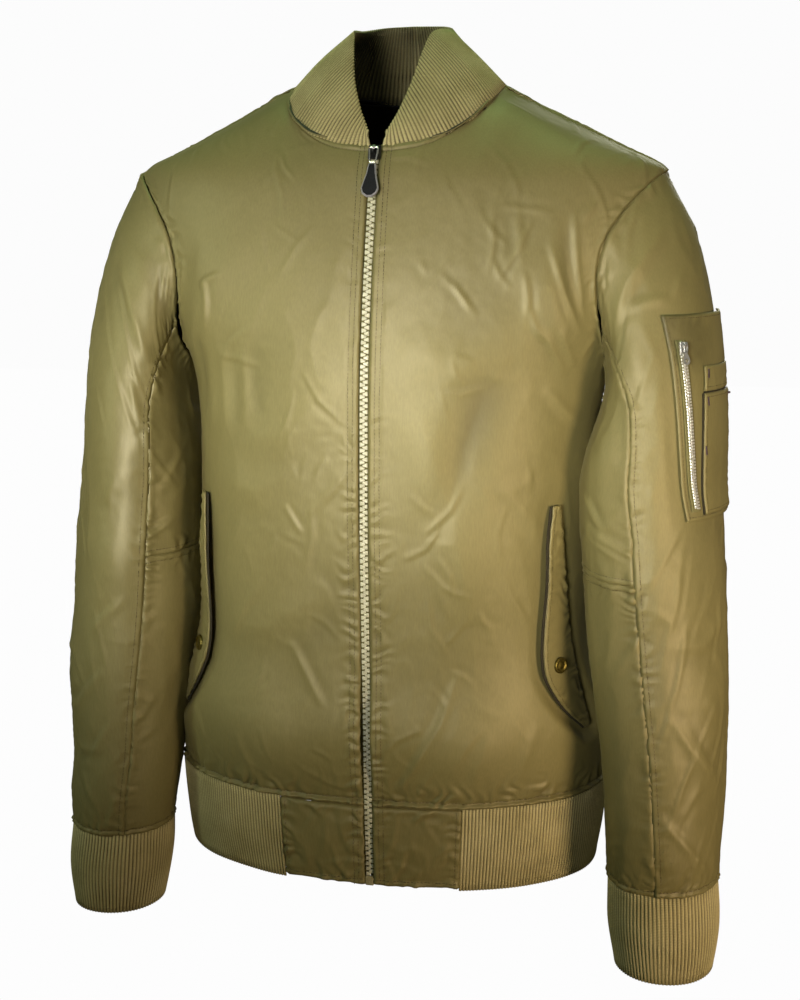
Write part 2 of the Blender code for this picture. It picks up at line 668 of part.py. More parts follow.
def sleeve_panels():
    rows = CAP_STEPS + len(SLEEVE_LEVELS) - 1
    grids = {}
    for side_name, side in (("left", 1), ("right", -1)):
        def patch(count, first, last, row0, row1):
            table = []
            for i in range(count + 1):
                line = []
                for j in range(row0, row1 + 1):
                    down = j / rows
                    turn = mix(first(down), last(down), i / count)
                    line.append(sleeve_point(side, turn, down))
                table.append(line)
            return np.array(table)

        def front_seam(down):
            return seam_turn(side_name, 0, down)

        def back_seam(down):
            return seam_turn(side_name, 1, down)

        top_count = 2 * ARMHOLE_STEPS - 2 * SEAM_STEPS
        grids["sleeve_top_" + side_name] = patch(
            top_count, lambda down: back_seam(down) - 1.0, front_seam, 0, rows)
        grids["sleeve_under_upper_" + side_name] = patch(
            2 * SEAM_STEPS, front_seam, back_seam, 0, ELBOW_ROW)
        grids["sleeve_under_lower_" + side_name] = patch(
            2 * SEAM_STEPS, front_seam, back_seam, ELBOW_ROW, rows)
    return grids


def inside_point(name, grid):
    """A point inside the garment near the middle of a panel."""
    centre = grid[grid.shape[0] // 2, grid.shape[1] // 2]
    if name.startswith("sleeve"):
        side = 1 if "left" in name else -1
        level = min(max(centre[2], CUFF_SEAM), -0.30)
        return vec(side * read(SLEEVE, "x", level), read(SLEEVE, "y", level), centre[2])
    return vec(0.0, 0.0, centre[2])


def build_cloth():
    panels = {}
    for name, grid in {**body_panels(), **sleeve_panels()}.items():
        panels[name] = (grid, outward(grid, inside_point(name, grid)))
    share_seam_normals(panels)
    for name, (grid, normals) in panels.items():
        first_gap = UNDERARM_GAP if name.startswith("sleeve_under_upper") else SEAM_GAP
        outer = pull_back(grid, SEAM_GAP, first_gap)
        inner = pull_back(grid - normals * CLOTH, SEAM_GAP, first_gap)
        wall(name, outer, inner, "satin")
    return panels


# ---------------------------------------------------------------- knitted bands
def ring_point(x_share, z, shrink):
    """Point round the hem: x_share is -1 to 1 from the right front edge round the back."""
    half = read(BODY, "half_width", z) - shrink
    power = read(BODY, "roundness", z)
    angle = math.pi * x_share
    c, s = math.sin(angle), -math.cos(angle)
    depth = abs(read(BODY, "front" if s < 0 else "back", z)) - shrink
    stretch = (abs(c) ** power + abs(s) ** power) ** (-1 / power)
    return vec(read(BODY, "centre", z) + half * c * stretch, depth * s * stretch, z)


def spaced(curve, count=720):
    """Shares of a closed or open curve, spaced evenly along its length."""
    shares = np.linspace(0.0, 1.0, count + 1)
    points = np.array([curve(share) for share in shares])
    steps = np.linalg.norm(np.diff(points, axis=0), axis=1)
    lengths = np.concatenate(([0.0], np.cumsum(steps)))
    return lengths / lengths[-1], shares


def hem_place(side, x):
    """Place round the hem at which its front is x from the middle."""
    low, high = (0.0, 0.5) if side > 0 else (2.0, 1.5)
    for _ in range(40):
        middle = (low + high) / 2
        if abs(ring_point(middle, HEM_SEAM, 0.0)[0]) < x:
            low = middle
        else:
            high = middle
    return low


def build_hem():
    top = HEM_SEAM - 2 * SEAM_GAP
    band_edge = FRONT_EDGE + HEM_PANEL
    first, last = hem_place(1, band_edge), hem_place(-1, band_edge)
    even, shares = spaced(lambda share: ring_point(mix(first, last, share), HEM_SEAM, 0.0))

    def band(share, level):
        place = mix(first, last, float(np.interp(share, even, shares)))
        z = mix(top, HEM_END, level)
        return ring_point(place, z, 0.0), ring_point(place, z, KNIT)

    ribbed_wall("hem_rib", band, HEM_RIBS, (0.0, 1.0), closed=False)
    for side_name, side in (("left", 1), ("right", -1)):
        edge = side * FRONT_EDGE
        ends = [vec(edge, body_y(edge, z, "front"), z) for z in (top, HEM_END)]
        outer, inner = [ends], [[point + vec(0.0, CLOTH, 0.0) for point in ends]]
        for i in range(1, 7):
            x = mix(FRONT_EDGE, band_edge - 2 * SEAM_GAP, i / 6)
            place = hem_place(side, x)
            outer.append([ring_point(place, z, 0.0) for z in (top, HEM_END)])
            inner.append([ring_point(place, z, CLOTH) for z in (top, HEM_END)])
        wall("hem_front_" + side_name, np.array(outer), np.array(inner), "satin")


def build_cuffs():
    for side_name, side in (("left", 1), ("right", -1)):
        def band(share, level):
            z = mix(CUFF_SEAM - 2 * SEAM_GAP, CUFF_END, level)
            out_point = arm_section(side, share, z, CUFF)
            middle = (arm_section(side, share, z, CUFF) + arm_section(side, share + 0.5, z, CUFF)) / 2
            return out_point, out_point - unit(out_point - middle) * KNIT

        ribbed_wall("cuff_rib_" + side_name, band, CUFF_RIBS, (0.0, 0.5, 1.0), closed=True)


def neck_seam(turn):
    """Point of the neck seam; turn runs from -180 at the back, by 0 at the front, to 180."""
    side = 1 if turn >= 0 else -1
    return vec(side * read(NECK, "x", abs(turn)), read(NECK, "y", abs(turn)), read(NECK, "z", abs(turn)))


def collar_top(turn):
    side = 1 if turn >= 0 else -1
    at = abs(turn)
    return vec(side * read(COLLAR_TOP, "x", at), read(COLLAR_TOP, "y", at), read(COLLAR_TOP, "z", at))


def neck_normals(panels):
    """The body wall's normals at the neck seam, by side and turn."""
    normals = {}
    middle = len(back_columns()) - 1
    for side_name, side in (("left", 1), ("right", -1)):
        for k, turn in enumerate(turn for turn in NECK_NODES if turn <= 90):
            normals[side, turn] = panels["front_" + side_name][1][k, -1]
        for k, turn in enumerate(turn for turn in reversed(NECK_NODES) if turn >= 90):
            normals[side, turn] = panels["back"][1][middle + side * k, -1]
    return normals


def build_collar(panels):
    """Knitted collar: from the right front edge round the back to the left one."""
    body_normals = neck_normals(panels)

    def seam_normal(place):
        turn = 360 * place
        side = -1 if turn < 180 else 1
        at = turn if turn < 180 else 360 - turn
        k = min(int(np.searchsorted(NECK_NODES, at, side="right")) - 1, len(NECK_NODES) - 2)
        share = (at - NECK_NODES[k]) / (NECK_NODES[k + 1] - NECK_NODES[k])
        return mix(body_normals[side, NECK_NODES[k]], body_normals[side, NECK_NODES[k + 1]], share)

    def seam_chord(place):
        """The neck seam as the body panels have it: straight between their columns."""
        turn = 360 * place
        side = -1 if turn < 180 else 1
        at = turn if turn < 180 else 360 - turn
        k = min(int(np.searchsorted(NECK_NODES, at, side="right")) - 1, len(NECK_NODES) - 2)
        share = (at - NECK_NODES[k]) / (NECK_NODES[k + 1] - NECK_NODES[k])
        start = neck_seam(max(NECK_NODES[k], 1e-6))
        point = mix(start, neck_seam(NECK_NODES[k + 1]), share)
        return point * vec(side, 1, 1)

    def free_edge(place):
        turn = 360 * place
        side = -1 if turn < 180 else 1
        at = turn if turn < 180 else 360 - turn
        return collar_top(max(at, 1e-6)) * vec(side, 1, 1)

    def outer_point(place, level):
        base, top = seam_chord(place), free_edge(place)
        rise = top - base
        away = unit(vec(base[0], base[1], 0.0))
        belly = 0.002 * math.sin(math.pi * level) * smooth_step(np.linalg.norm(rise) / 0.05)
        return base + unit(rise) * 2 * SEAM_GAP + rise * level + away * belly

    even, shares = spaced(lambda share: mix(seam_chord(share), free_edge(share), 0.5))

    def band(share, level):
        place = float(np.interp(share, even, shares))
        step = 0.002
        here = outer_point(place, level)
        along = outer_point(min(place + step, 1.0), level) - outer_point(max(place - step, 0.0), level)
        rise = outer_point(place, min(level + 0.05, 1.0)) - outer_point(place, max(level - 0.05, 0.0))
        normal = unit(np.cross(rise, along))
        if np.dot(normal, vec(here[0], here[1], 0.0)) < 0:
            normal = -normal
        if level == 0.0:
            normal = seam_normal(place)
        return here, here - normal * KNIT

    ribbed_wall("collar_rib", band, COLLAR_RIBS, (0.0, 0.35, 0.75, 1.0), closed=False, flat_rows=1)


# ---------------------------------------------------------------- zips
def front_line(offset_x):
    """The right or left front edge from hem end to neck, as the panels' rows have it."""
    hem_levels = [mix(HEM_END, HEM_SEAM, share) for share in (0.0, 0.35, 0.65, 1.0)]
    points = [vec(offset_x, body_y(offset_x, z, "front"), z) for z in hem_levels]
    for up in panel_rows()[1:]:
        edge = body_point("front", 1 if offset_x >= 0 else -1, 0.0, up)
        points.append(vec(offset_x, edge[1], edge[2]))
    return points


def line_at(points, z):
    """Depth of a front line at a height."""
    heights = [point[2] for point in points]
    depths = [point[1] for point in points]
    return float(np.interp(z, heights, depths))


def strip(name, left, right, low, high, depth, thickness, material):
    """A flat strip up the front, behind or between the front edges."""
    points = front_line(FRONT_EDGE)
    levels = [low] + [p[2] for p in points if low + 0.004 < p[2] < high - 0.004] + [high]
    outer = np.array([[vec(x, line_at(points, z) + depth, z) for z in levels] for x in (left, right)])
    inner = outer + vec(0.0, thickness, 0.0)
    return wall(name, outer, inner, material)


def tube(name, path, radius, material, parent, closed=False, sides=6):
    """A wire along a path of points."""
    bm = bmesh.new()
    rings = []
    count = len(path)
    across = unit(np.cross(path[1] - path[0], path[2] - path[1]))
    for k in range(count):
        before = path[(k - 1) % count] if closed or k else path[0]
        after = path[(k + 1) % count] if closed or k < count - 1 else path[-1]
        along = unit(after - before)
        side = unit(np.cross(along, across))
        ring = []
        for i in range(sides):
            angle = 2 * math.pi * i / sides
            ring.append(bm.verts.new(path[k] + radius * (math.cos(angle) * across + math.sin(angle) * side)))
        rings.append(ring)
    for k in range(count if closed else count - 1):
        here, there = rings[k], rings[(k + 1) % count]
        for i in range(sides):
            j = (i + 1) % sides
            bm.faces.new((here[i], here[j], there[j], there[i]))
    if not closed:
        bm.faces.new(rings[0])
        bm.faces.new(rings[-1])
    return finish(name, bm, material, 60, parent)


def slab(name, outline, hole, origin, right, down, out, thickness, material, parent, bevel):
    """A plate between two faces: an outline, and a hole with as many points, in its own plane."""
    bm = bmesh.new()
    layers = []
    for face in (-0.5, 0.5):
        rings = []
        for ring in (outline, hole) if hole else (outline,):
            rings.append([bm.verts.new(origin + right * x + down * y + out * thickness * face)
                          for x, y in ring])
        layers.append(rings)
    count = len(outline)
    for i in range(count):
        j = (i + 1) % count
        for ring in range(len(layers[0])):
            low, high = layers[0][ring], layers[1][ring]
            bm.faces.new((low[i], low[j], high[j], high[i]))
        if hole:
            for rings in layers:
                bm.faces.new((rings[0][i], rings[0][j], rings[1][j], rings[1][i]))
    if not hole:
        for rings in layers:
            bm.faces.new(rings[0])
    if bevel:
        bmesh.ops.recalc_face_normals(bm, faces=bm.faces)
        rim = [edge for edge in bm.edges if len(edge.link_faces) == 2 and edge.calc_face_angle() > 1.2]
        bmesh.ops.bevel(bm, geom=rim, offset=bevel, segments=1, profile=0.5, affect="EDGES", material=-1)
    return finish(name, bm, material, 40, parent)


def hinge(name, place):
    empty = bpy.data.objects.new(name, None)
    empty.location = place
    empty.empty_display_size = 0.01
    bpy.context.scene.collection.objects.link(empty)
    bpy.context.view_layer.update()
    return empty


def slider_frame(surface_top, surface_bottom, right):
    """Directions of a slider that lies on a surface: right, down along it, and out."""
    down = unit(surface_bottom - surface_top)
    right = unit(right - down * np.dot(right, down))
    out = np.cross(right, down)
    return right, down, out


def build_slider(prefix, centre, right, down, out, size, material, half_bridge):
    """Slider body with the arch over its pull; gives the hinge point."""
    turn = np.column_stack((right, out, -down))
    box(prefix, centre, size, material, min(size) * SLIDER_BEVEL, None, turn)
    foot = centre + out * (size[1] / 2 + BRIDGE_GAP) - down * size[2] * BRIDGE_PLACE
    bm = bmesh.new()
    rings = []
    for lift, along, shift in zip(BRIDGE["lift"], BRIDGE["along"], BRIDGE["inner_shift"]):
        over = foot + out * lift + down * along
        under = over - out * BRIDGE_THICK + down * shift
        rings.append([bm.verts.new(over - right * half_bridge), bm.verts.new(over + right * half_bridge),
                      bm.verts.new(under + right * half_bridge), bm.verts.new(under - right * half_bridge)])
    for here, there in zip(rings[:-1], rings[1:]):
        for i in range(4):
            j = (i + 1) % 4
            bm.faces.new((here[i], here[j], there[j], there[i]))
    bm.faces.new(rings[0])
    bm.faces.new(rings[-1])
    finish(prefix + "_bridge", bm, material, 50)
    return foot + out * PIVOT_LIFT


def build_front_zip():
    low, high = HEM_END + 0.0004, ZIP_TOP
    for side_name, side in (("left", 1), ("right", -1)):
        strip("zip_tape_" + side_name, side * 0.0004, side * TAPE_WIDTH, low, high,
              TAPE_DEPTH, TAPE_THICK, "tape")
    points = front_line(FRONT_EDGE)
    slider_middle = SLIDER_TOP - SLIDER_SIZE[2] / 2
    strip("zip_chain", -CHAIN_HALF, CHAIN_HALF, HEM_END + ZIP_BOX[2] + 0.0012,
          SLIDER_TOP - 0.0005, CHAIN_DEPTH, CHAIN_THICK, "teeth")
    box_z = HEM_END + ZIP_BOX[2] / 2 + 0.0006
    box("zip_box", vec(0.0, line_at(points, box_z) + 0.0004, box_z), ZIP_BOX, "brass", 0.0006)
    top = vec(0.0, line_at(points, SLIDER_TOP), SLIDER_TOP)
    bottom = vec(0.0, line_at(points, SLIDER_TOP - 0.03), SLIDER_TOP - 0.03)
    right, down, out = slider_frame(top, bottom, vec(-1.0, 0.0, 0.0))
    centre = vec(0.0, line_at(points, slider_middle), slider_middle) + out * SLIDER_LIFT
    pivot = build_slider("zip_slider", centre, right, down, out, SLIDER_SIZE, "dark_metal", BRIDGE_HALF)
    anchor = hinge("main_pull_axis", pivot)
    half, low_half, length = LOOP["top_half"], LOOP["bottom_half"], LOOP["length"]
    path = [(-half + 0.0008, 0.0), (half - 0.0008, 0.0), (half, 0.0010), (low_half, length - 0.0008),
            (low_half - 0.0008, length), (-low_half + 0.0008, length), (-low_half, length - 0.0008),
            (-half, 0.0010)]
    tube("pull_loop", [pivot + right * x + down * y for x, y in path], WIRE, "chrome", anchor, closed=True)
    outline = []
    for side in (1, -1):
        order = TAB["along"] if side > 0 else reversed(TAB["along"])
        outline += [(side * read(TAB, "half_width", at), length + WIRE + 0.0004 + TAB_LENGTH * at)
                    for at in order]
    slab("pull_tab", outline, None, pivot, right, down, out, TAB_THICK, "leather", anchor, 0.0006)


# ---------------------------------------------------------------- side pockets
def flap_point(side, along, share, lift):
    """Point of a pocket flap: share 0 is its sewn edge and 1 its free edge."""
    across = read(POCKET_FLAP, "across", along)
    up = read(POCKET_FLAP, "up", along)
    across -= share * read(POCKET_FLAP, "width", along) / BODY["half_width"][5]
    here = body_point("front", side, across, up, folded=False)
    step = 0.01
    span = body_point("front", side, across + step, up, False) - body_point("front", side, across - step, up, False)
    rise = body_point("front", side, across, up + step, False) - body_point("front", side, across, up - step, False)
    normal = unit(np.cross(span, rise)) * side
    away = mix(0.0012, read(POCKET_FLAP, "lift", along), share) + lift
    return here + normal * away, normal


def build_side_pockets():
    for side_name, side in (("left", 1), ("right", -1)):
        places = [i / 12 for i in range(13)]
        shares = (0.0, 0.35, 0.7, 1.0)
        outer = np.array([[flap_point(side, at, share, FLAP_CLOTH)[0] for at in places] for share in shares])
        inner = np.array([[flap_point(side, at, share, 0.0)[0] for at in places] for share in shares])
        wall("pocket_flap_" + side_name, outer, inner, "satin")
        centre, normal = flap_point(side, SNAP_ALONG, 0.55, FLAP_CLOTH + 0.0010)
        disc("pocket_snap_" + side_name, centre, normal)


def disc(name, centre, normal):
    """A snap cap: a low turned dome."""
    bm = bmesh.new()
    side = unit(np.cross(normal, vec(0.0, 0.0, 1.0)))
    up = np.cross(side, normal)
    rings = []
    for radius, height in ((0.92, 0.0), (1.0, 0.25), (0.86, 0.75), (0.5, 1.0)):
        rings.append([bm.verts.new(centre + SNAP_RADIUS * radius * (math.cos(a) * side + math.sin(a) * up)
                                   + normal * SNAP_THICK * height)
                      for a in [2 * math.pi * i / 20 for i in range(20)]])
    for here, there in zip(rings[:-1], rings[1:]):
        for i in range(20):
            j = (i + 1) % 20
            bm.faces.new((here[i], here[j], there[j], there[i]))
    bm.faces.new(rings[0])
    bm.faces.new(rings[-1])
    finish(name, bm, "brass", 50)


# ---------------------------------------------------------------- sleeve pocket
def down_at(turn, z):
    """Place down the left sleeve at which it has a height."""
    low, high = 0.0, 1.0
    for _ in range(30):
        middle = (low + high) / 2
        if sleeve_point(1, turn, middle)[2] > z:
            low = middle
        else:
            high = middle
    return low


def sleeve_face(turn, z, lift):
    """Point over the left sleeve's cloth and the way out from it."""
    down = down_at(turn, z)
    here = sleeve_point(1, turn, down)
    span = sleeve_point(1, turn + 0.01, down) - sleeve_point(1, turn - 0.01, down)
    fall = sleeve_point(1, turn, down + 0.01) - sleeve_point(1, turn, down - 0.01)
    normal = unit(np.cross(span, fall))
    if np.dot(normal, sleeve_out(1, turn, here)) < 0:
        normal = -normal
    return here + normal * lift, normal


def sleeve_patch(name, corners, lift, thickness, material, columns, rows):
    outer = []
    inner = []
    for i in range(columns + 1):
        outer_line = []
        inner_line = []
        for j in range(rows + 1):
            share = j / rows
            z = mix(corners["top"], corners["bottom"], share)
            turn = mix(mix(*corners["front"], share), mix(*corners["back"], share), i / columns)
            outer_line.append(sleeve_face(turn, z, lift + thickness)[0])
            inner_line.append(sleeve_face(turn, z, lift)[0])
        outer.append(outer_line)
        inner.append(inner_line)
    wall(name, np.array(outer), np.array(inner), material)


def build_sleeve_pocket():
    lift = PATCH_LIFT
    sleeve_patch("sleeve_pocket", ARM_POCKET, lift, PATCH_CLOTH, "satin", 9, 7)
    lift += PATCH_CLOTH + LAYER_GAP
    sleeve_patch("pen_pocket_lower", PEN_POCKET, lift, PATCH_CLOTH, "satin", 5, 5)
    sleeve_patch("pen_pocket_upper", PEN_UPPER, lift, PATCH_CLOTH, "satin", 4, 1)
    turn_top, turn_end = ARM_ZIP_TURN
    half_tape = ARM_TAPE_HALF / ROUND_ARM
    half_chain = ARM_CHAIN_HALF / ROUND_ARM
    tape = {"front": (turn_top + half_tape, turn_end + half_tape),
            "back": (turn_top - half_tape, turn_end - half_tape), "top": ARM_ZIP_TOP, "bottom": ARM_ZIP_END}
    chain = {"front": (turn_top + half_chain, turn_end + half_chain),
             "back": (turn_top - half_chain, turn_end - half_chain),
             "top": ARM_ZIP_TOP - 0.004, "bottom": ARM_ZIP_END + 0.002}
    sleeve_patch("arm_zip_tape", tape, lift, TAPE_THICK, "tape", 1, 7)
    chain_lift = lift + TAPE_THICK + LAYER_GAP
    sleeve_patch("arm_zip_chain", chain, chain_lift, ARM_CHAIN_THICK, "arm_teeth", 1, 7)
    slider_lift = chain_lift + ARM_CHAIN_THICK + LAYER_GAP + ARM_SLIDER_SIZE[1] / 2
    top, _ = sleeve_face(turn_top, ARM_ZIP_TOP + 0.001, slider_lift)
    bottom, _ = sleeve_face(turn_top, ARM_ZIP_TOP - 0.024, slider_lift)
    middle, normal = sleeve_face(turn_top, ARM_ZIP_TOP - 0.0065, slider_lift)
    right = np.cross(unit(bottom - top), normal)
    right, down, out = slider_frame(top, bottom, right)
    pivot = build_slider("arm_slider", middle, right, down, out, ARM_SLIDER_SIZE, "chrome", ARM_BRIDGE_HALF)
    anchor = hinge("arm_pull_axis", pivot)
    angles = [2 * math.pi * i / 16 for i in range(16)]
    outline = [(ARM_PULL_END * math.sin(a), ARM_PULL_LENGTH - ARM_PULL_END * math.cos(a)
                * (1 + max(math.cos(a), 0.0) ** 2)) for a in angles]
    hole = [(ARM_PULL_HOLE * math.sin(a), ARM_PULL_LENGTH - ARM_PULL_HOLE * math.cos(a)) for a in angles]
    slab("arm_pull", outline, hole, pivot, right, down, out, ARM_PULL_THICK, "chrome", anchor, 0.0)
    reach = ARM_PULL_LENGTH - 2 * ARM_PULL_END - ARM_WIRE - 0.0004
    half, low_half, corner = ARM_BAIL["top_half"], ARM_BAIL["bottom_half"], ARM_BAIL["corner"]
    path = [(corner - half, 0.0), (half - corner, 0.0), (half, corner),
            (low_half, reach), (-low_half, reach), (-half, corner)]
    tube("arm_pull_bail", [pivot + right * x + down * y for x, y in path], ARM_WIRE, "chrome", anchor,
         closed=True)


def build_lining():
    """The part of the back lining that shows through the neck."""
    rows = [up for up in panel_rows() if up > LINING_FROM]
    half = [across for across in back_columns() if across < LINING_ACROSS]
    columns = [(-1, across) for across in half[:0:-1]] + [(1, across) for across in half]
    grid = np.array([[body_point("back", side, across, up) for up in rows] for side, across in columns])
    normals = outward(grid, vec(0.0, 0.0, grid[0, 0][2]))
    outer = pull_back(grid - normals * (CLOTH + LAYER_GAP), 4 * SEAM_GAP)
    inner = pull_back(grid - normals * (CLOTH + LAYER_GAP + LINING_CLOTH), 4 * SEAM_GAP)
    wall("neck_lining", outer, inner, "lining")


def main():
    for thing in list(bpy.data.objects):
        bpy.data.objects.remove(thing, do_unlink=True)
    panels = build_cloth()
    build_hem()
    build_cuffs()
    build_collar(panels)
    build_lining()
    build_front_zip()
    build_side_pockets()
    build_sleeve_pocket()


main()
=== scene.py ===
# %% [markdown]
# # A worn bomber jacket
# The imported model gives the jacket's solids: cloth panels, knitted bands, zips
# and pockets, all in metres, with +X to the wearer's left and -Y to the front.
# This lesson dresses them. Each solid either keeps its shape and gets a better
# material, or is replaced by a finer piece that lies in the same place.

# %% Load the fixed frame
import json
import math

import bmesh
import bpy
import numpy as np
from mathutils import Matrix, Vector, kdtree, noise
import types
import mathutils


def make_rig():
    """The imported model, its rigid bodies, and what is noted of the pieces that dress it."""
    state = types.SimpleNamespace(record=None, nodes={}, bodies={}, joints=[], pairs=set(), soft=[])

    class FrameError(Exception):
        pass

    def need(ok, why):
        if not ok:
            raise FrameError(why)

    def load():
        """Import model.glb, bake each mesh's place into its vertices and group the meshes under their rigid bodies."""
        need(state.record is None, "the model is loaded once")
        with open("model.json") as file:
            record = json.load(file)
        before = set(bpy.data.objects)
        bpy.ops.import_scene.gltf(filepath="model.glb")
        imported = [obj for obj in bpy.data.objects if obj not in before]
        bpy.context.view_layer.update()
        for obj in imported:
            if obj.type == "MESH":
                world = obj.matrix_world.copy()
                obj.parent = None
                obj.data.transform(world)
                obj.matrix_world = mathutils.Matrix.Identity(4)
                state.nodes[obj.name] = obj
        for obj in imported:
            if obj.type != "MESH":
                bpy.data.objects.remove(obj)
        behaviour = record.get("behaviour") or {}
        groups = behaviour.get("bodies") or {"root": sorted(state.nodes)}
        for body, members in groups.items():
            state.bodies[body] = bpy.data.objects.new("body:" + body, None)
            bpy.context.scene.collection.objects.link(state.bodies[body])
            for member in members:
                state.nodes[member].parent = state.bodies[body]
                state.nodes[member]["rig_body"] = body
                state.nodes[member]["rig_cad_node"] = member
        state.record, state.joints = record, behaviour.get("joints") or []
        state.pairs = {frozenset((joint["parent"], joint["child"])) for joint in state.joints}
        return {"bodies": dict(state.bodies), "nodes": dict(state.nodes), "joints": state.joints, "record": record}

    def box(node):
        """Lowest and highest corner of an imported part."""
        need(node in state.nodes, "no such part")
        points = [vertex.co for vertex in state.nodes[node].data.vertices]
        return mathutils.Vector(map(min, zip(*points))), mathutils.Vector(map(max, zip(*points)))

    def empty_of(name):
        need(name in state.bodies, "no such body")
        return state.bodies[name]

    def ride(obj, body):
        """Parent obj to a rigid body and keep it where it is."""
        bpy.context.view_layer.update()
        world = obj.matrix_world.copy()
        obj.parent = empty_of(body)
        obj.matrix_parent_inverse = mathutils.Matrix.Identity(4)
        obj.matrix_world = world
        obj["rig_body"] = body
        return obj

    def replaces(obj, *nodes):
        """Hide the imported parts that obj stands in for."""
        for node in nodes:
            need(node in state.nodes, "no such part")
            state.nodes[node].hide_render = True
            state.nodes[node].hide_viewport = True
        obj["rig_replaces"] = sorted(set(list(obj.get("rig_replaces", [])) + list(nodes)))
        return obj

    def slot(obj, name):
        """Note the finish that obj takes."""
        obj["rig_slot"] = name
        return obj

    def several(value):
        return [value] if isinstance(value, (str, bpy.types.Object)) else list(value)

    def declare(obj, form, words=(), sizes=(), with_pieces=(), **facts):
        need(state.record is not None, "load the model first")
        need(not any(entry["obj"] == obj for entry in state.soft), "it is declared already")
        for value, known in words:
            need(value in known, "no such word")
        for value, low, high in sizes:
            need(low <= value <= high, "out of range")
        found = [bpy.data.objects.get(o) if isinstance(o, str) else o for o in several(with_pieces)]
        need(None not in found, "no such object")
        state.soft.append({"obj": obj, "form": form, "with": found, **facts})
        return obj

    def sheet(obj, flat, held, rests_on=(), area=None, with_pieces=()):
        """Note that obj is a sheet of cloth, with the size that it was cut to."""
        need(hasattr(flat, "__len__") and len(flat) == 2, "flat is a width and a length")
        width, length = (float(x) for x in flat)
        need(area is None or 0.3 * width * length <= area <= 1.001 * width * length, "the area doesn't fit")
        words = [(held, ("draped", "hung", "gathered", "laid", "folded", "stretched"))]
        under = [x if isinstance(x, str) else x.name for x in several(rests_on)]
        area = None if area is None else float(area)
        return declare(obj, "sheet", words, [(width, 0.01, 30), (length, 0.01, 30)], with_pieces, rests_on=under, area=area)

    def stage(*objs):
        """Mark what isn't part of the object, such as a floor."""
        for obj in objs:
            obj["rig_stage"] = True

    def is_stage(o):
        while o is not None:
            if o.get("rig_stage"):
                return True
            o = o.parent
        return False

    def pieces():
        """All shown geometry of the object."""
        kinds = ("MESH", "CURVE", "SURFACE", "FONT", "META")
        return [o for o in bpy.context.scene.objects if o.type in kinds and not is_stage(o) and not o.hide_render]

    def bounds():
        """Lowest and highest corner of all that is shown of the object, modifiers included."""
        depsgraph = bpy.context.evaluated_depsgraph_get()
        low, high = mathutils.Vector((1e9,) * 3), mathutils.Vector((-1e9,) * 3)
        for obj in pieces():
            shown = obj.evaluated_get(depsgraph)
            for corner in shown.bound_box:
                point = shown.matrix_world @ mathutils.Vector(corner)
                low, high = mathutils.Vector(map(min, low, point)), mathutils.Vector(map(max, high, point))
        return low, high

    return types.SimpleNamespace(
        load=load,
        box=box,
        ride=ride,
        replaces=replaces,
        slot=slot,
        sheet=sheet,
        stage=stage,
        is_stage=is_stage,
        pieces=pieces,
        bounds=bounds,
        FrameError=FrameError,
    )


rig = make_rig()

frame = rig.load()
cad_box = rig.bounds()
NODES = frame["nodes"]
SIDES = (("left", 1), ("right", -1))      # the wearer's sides, with the sign of x there
print("CAD box", [round(v, 4) for v in cad_box[1] - cad_box[0]])

# %% [markdown]
# ## Camera
# The camera stands in front of the chest and a little to the wearer's left, and
# looks down by eleven degrees. It has no lens shift and no depth of field, so
# every part of the jacket stays sharp.

# %% Camera
CAMERA_PLACE = Vector((0.3083, -1.3861, -0.104))
CAMERA_TURN = (79.114, 0.0, 12.5)      # degrees
LENS = 56.16                           # mm on a 36 mm sensor

camera_data = bpy.data.cameras.new("camera")
camera_data.lens = LENS
camera_data.clip_start = 0.05
camera = bpy.data.objects.new("camera", camera_data)
camera.location = CAMERA_PLACE
camera.rotation_euler = [math.radians(angle) for angle in CAMERA_TURN]
bpy.context.scene.collection.objects.link(camera)
bpy.context.scene.camera = camera
print("camera", [round(v, 3) for v in CAMERA_PLACE])

# %% [markdown]
# ## Colours and nodes
# A dye or a plating is best named by the colour it has on a screen. Shaders
# count in linear light, so one function turns the hex values to that. Nodes
# could be added by hand, in several lines each. One function does it instead,
# with a node's settings and what feeds each of its inputs.

# %% Helpers for nodes


def colour(code):
    """sRGB hex value as linear red, green, blue and alpha."""
    parts = [int(code[i:i + 2], 16) / 255 for i in (0, 2, 4)]
    linear = [p / 12.92 if p <= 0.04045 else ((p + 0.055) / 1.055) ** 2.4 for p in parts]
    return (*linear, 1.0)


def add_node(tree, kind, settings=None, slots=None, stops=(), **inputs):
    """A node with its settings; each input is a value, or a socket to link from.

    Inputs are named, with _ for a space; slots gives others by their number.
    stops are those of a colour ramp, each a place and a hex colour.
    """
    node = tree.nodes.new(kind)
    for key, value in (settings or {}).items():
        setattr(node, key, value)
    for _ in stops[2:]:
        node.color_ramp.elements.new(0.5)
    for number, (place, code) in enumerate(stops):
        node.color_ramp.elements[number].position = place
        node.color_ramp.elements[number].color = colour(code)
    wanted = [(node.inputs[key.replace("_", " ")], value) for key, value in inputs.items()]
    wanted += [(node.inputs[number], value) for number, value in (slots or {}).items()]
    for socket, value in wanted:
        if isinstance(value, bpy.types.NodeSocket):
            tree.links.new(value, socket)
        else:
            socket.default_value = value
    return node


def new_material(name, **shader):
    """A material with its Principled shader; gives material, node tree and shader."""
    material = bpy.data.materials.new(name)
    material.use_nodes = True
    tree = material.node_tree
    surface = tree.nodes["Principled BSDF"]
    for key, value in shader.items():
        surface.inputs[key.replace("_", " ")].default_value = value
    return material, tree, surface


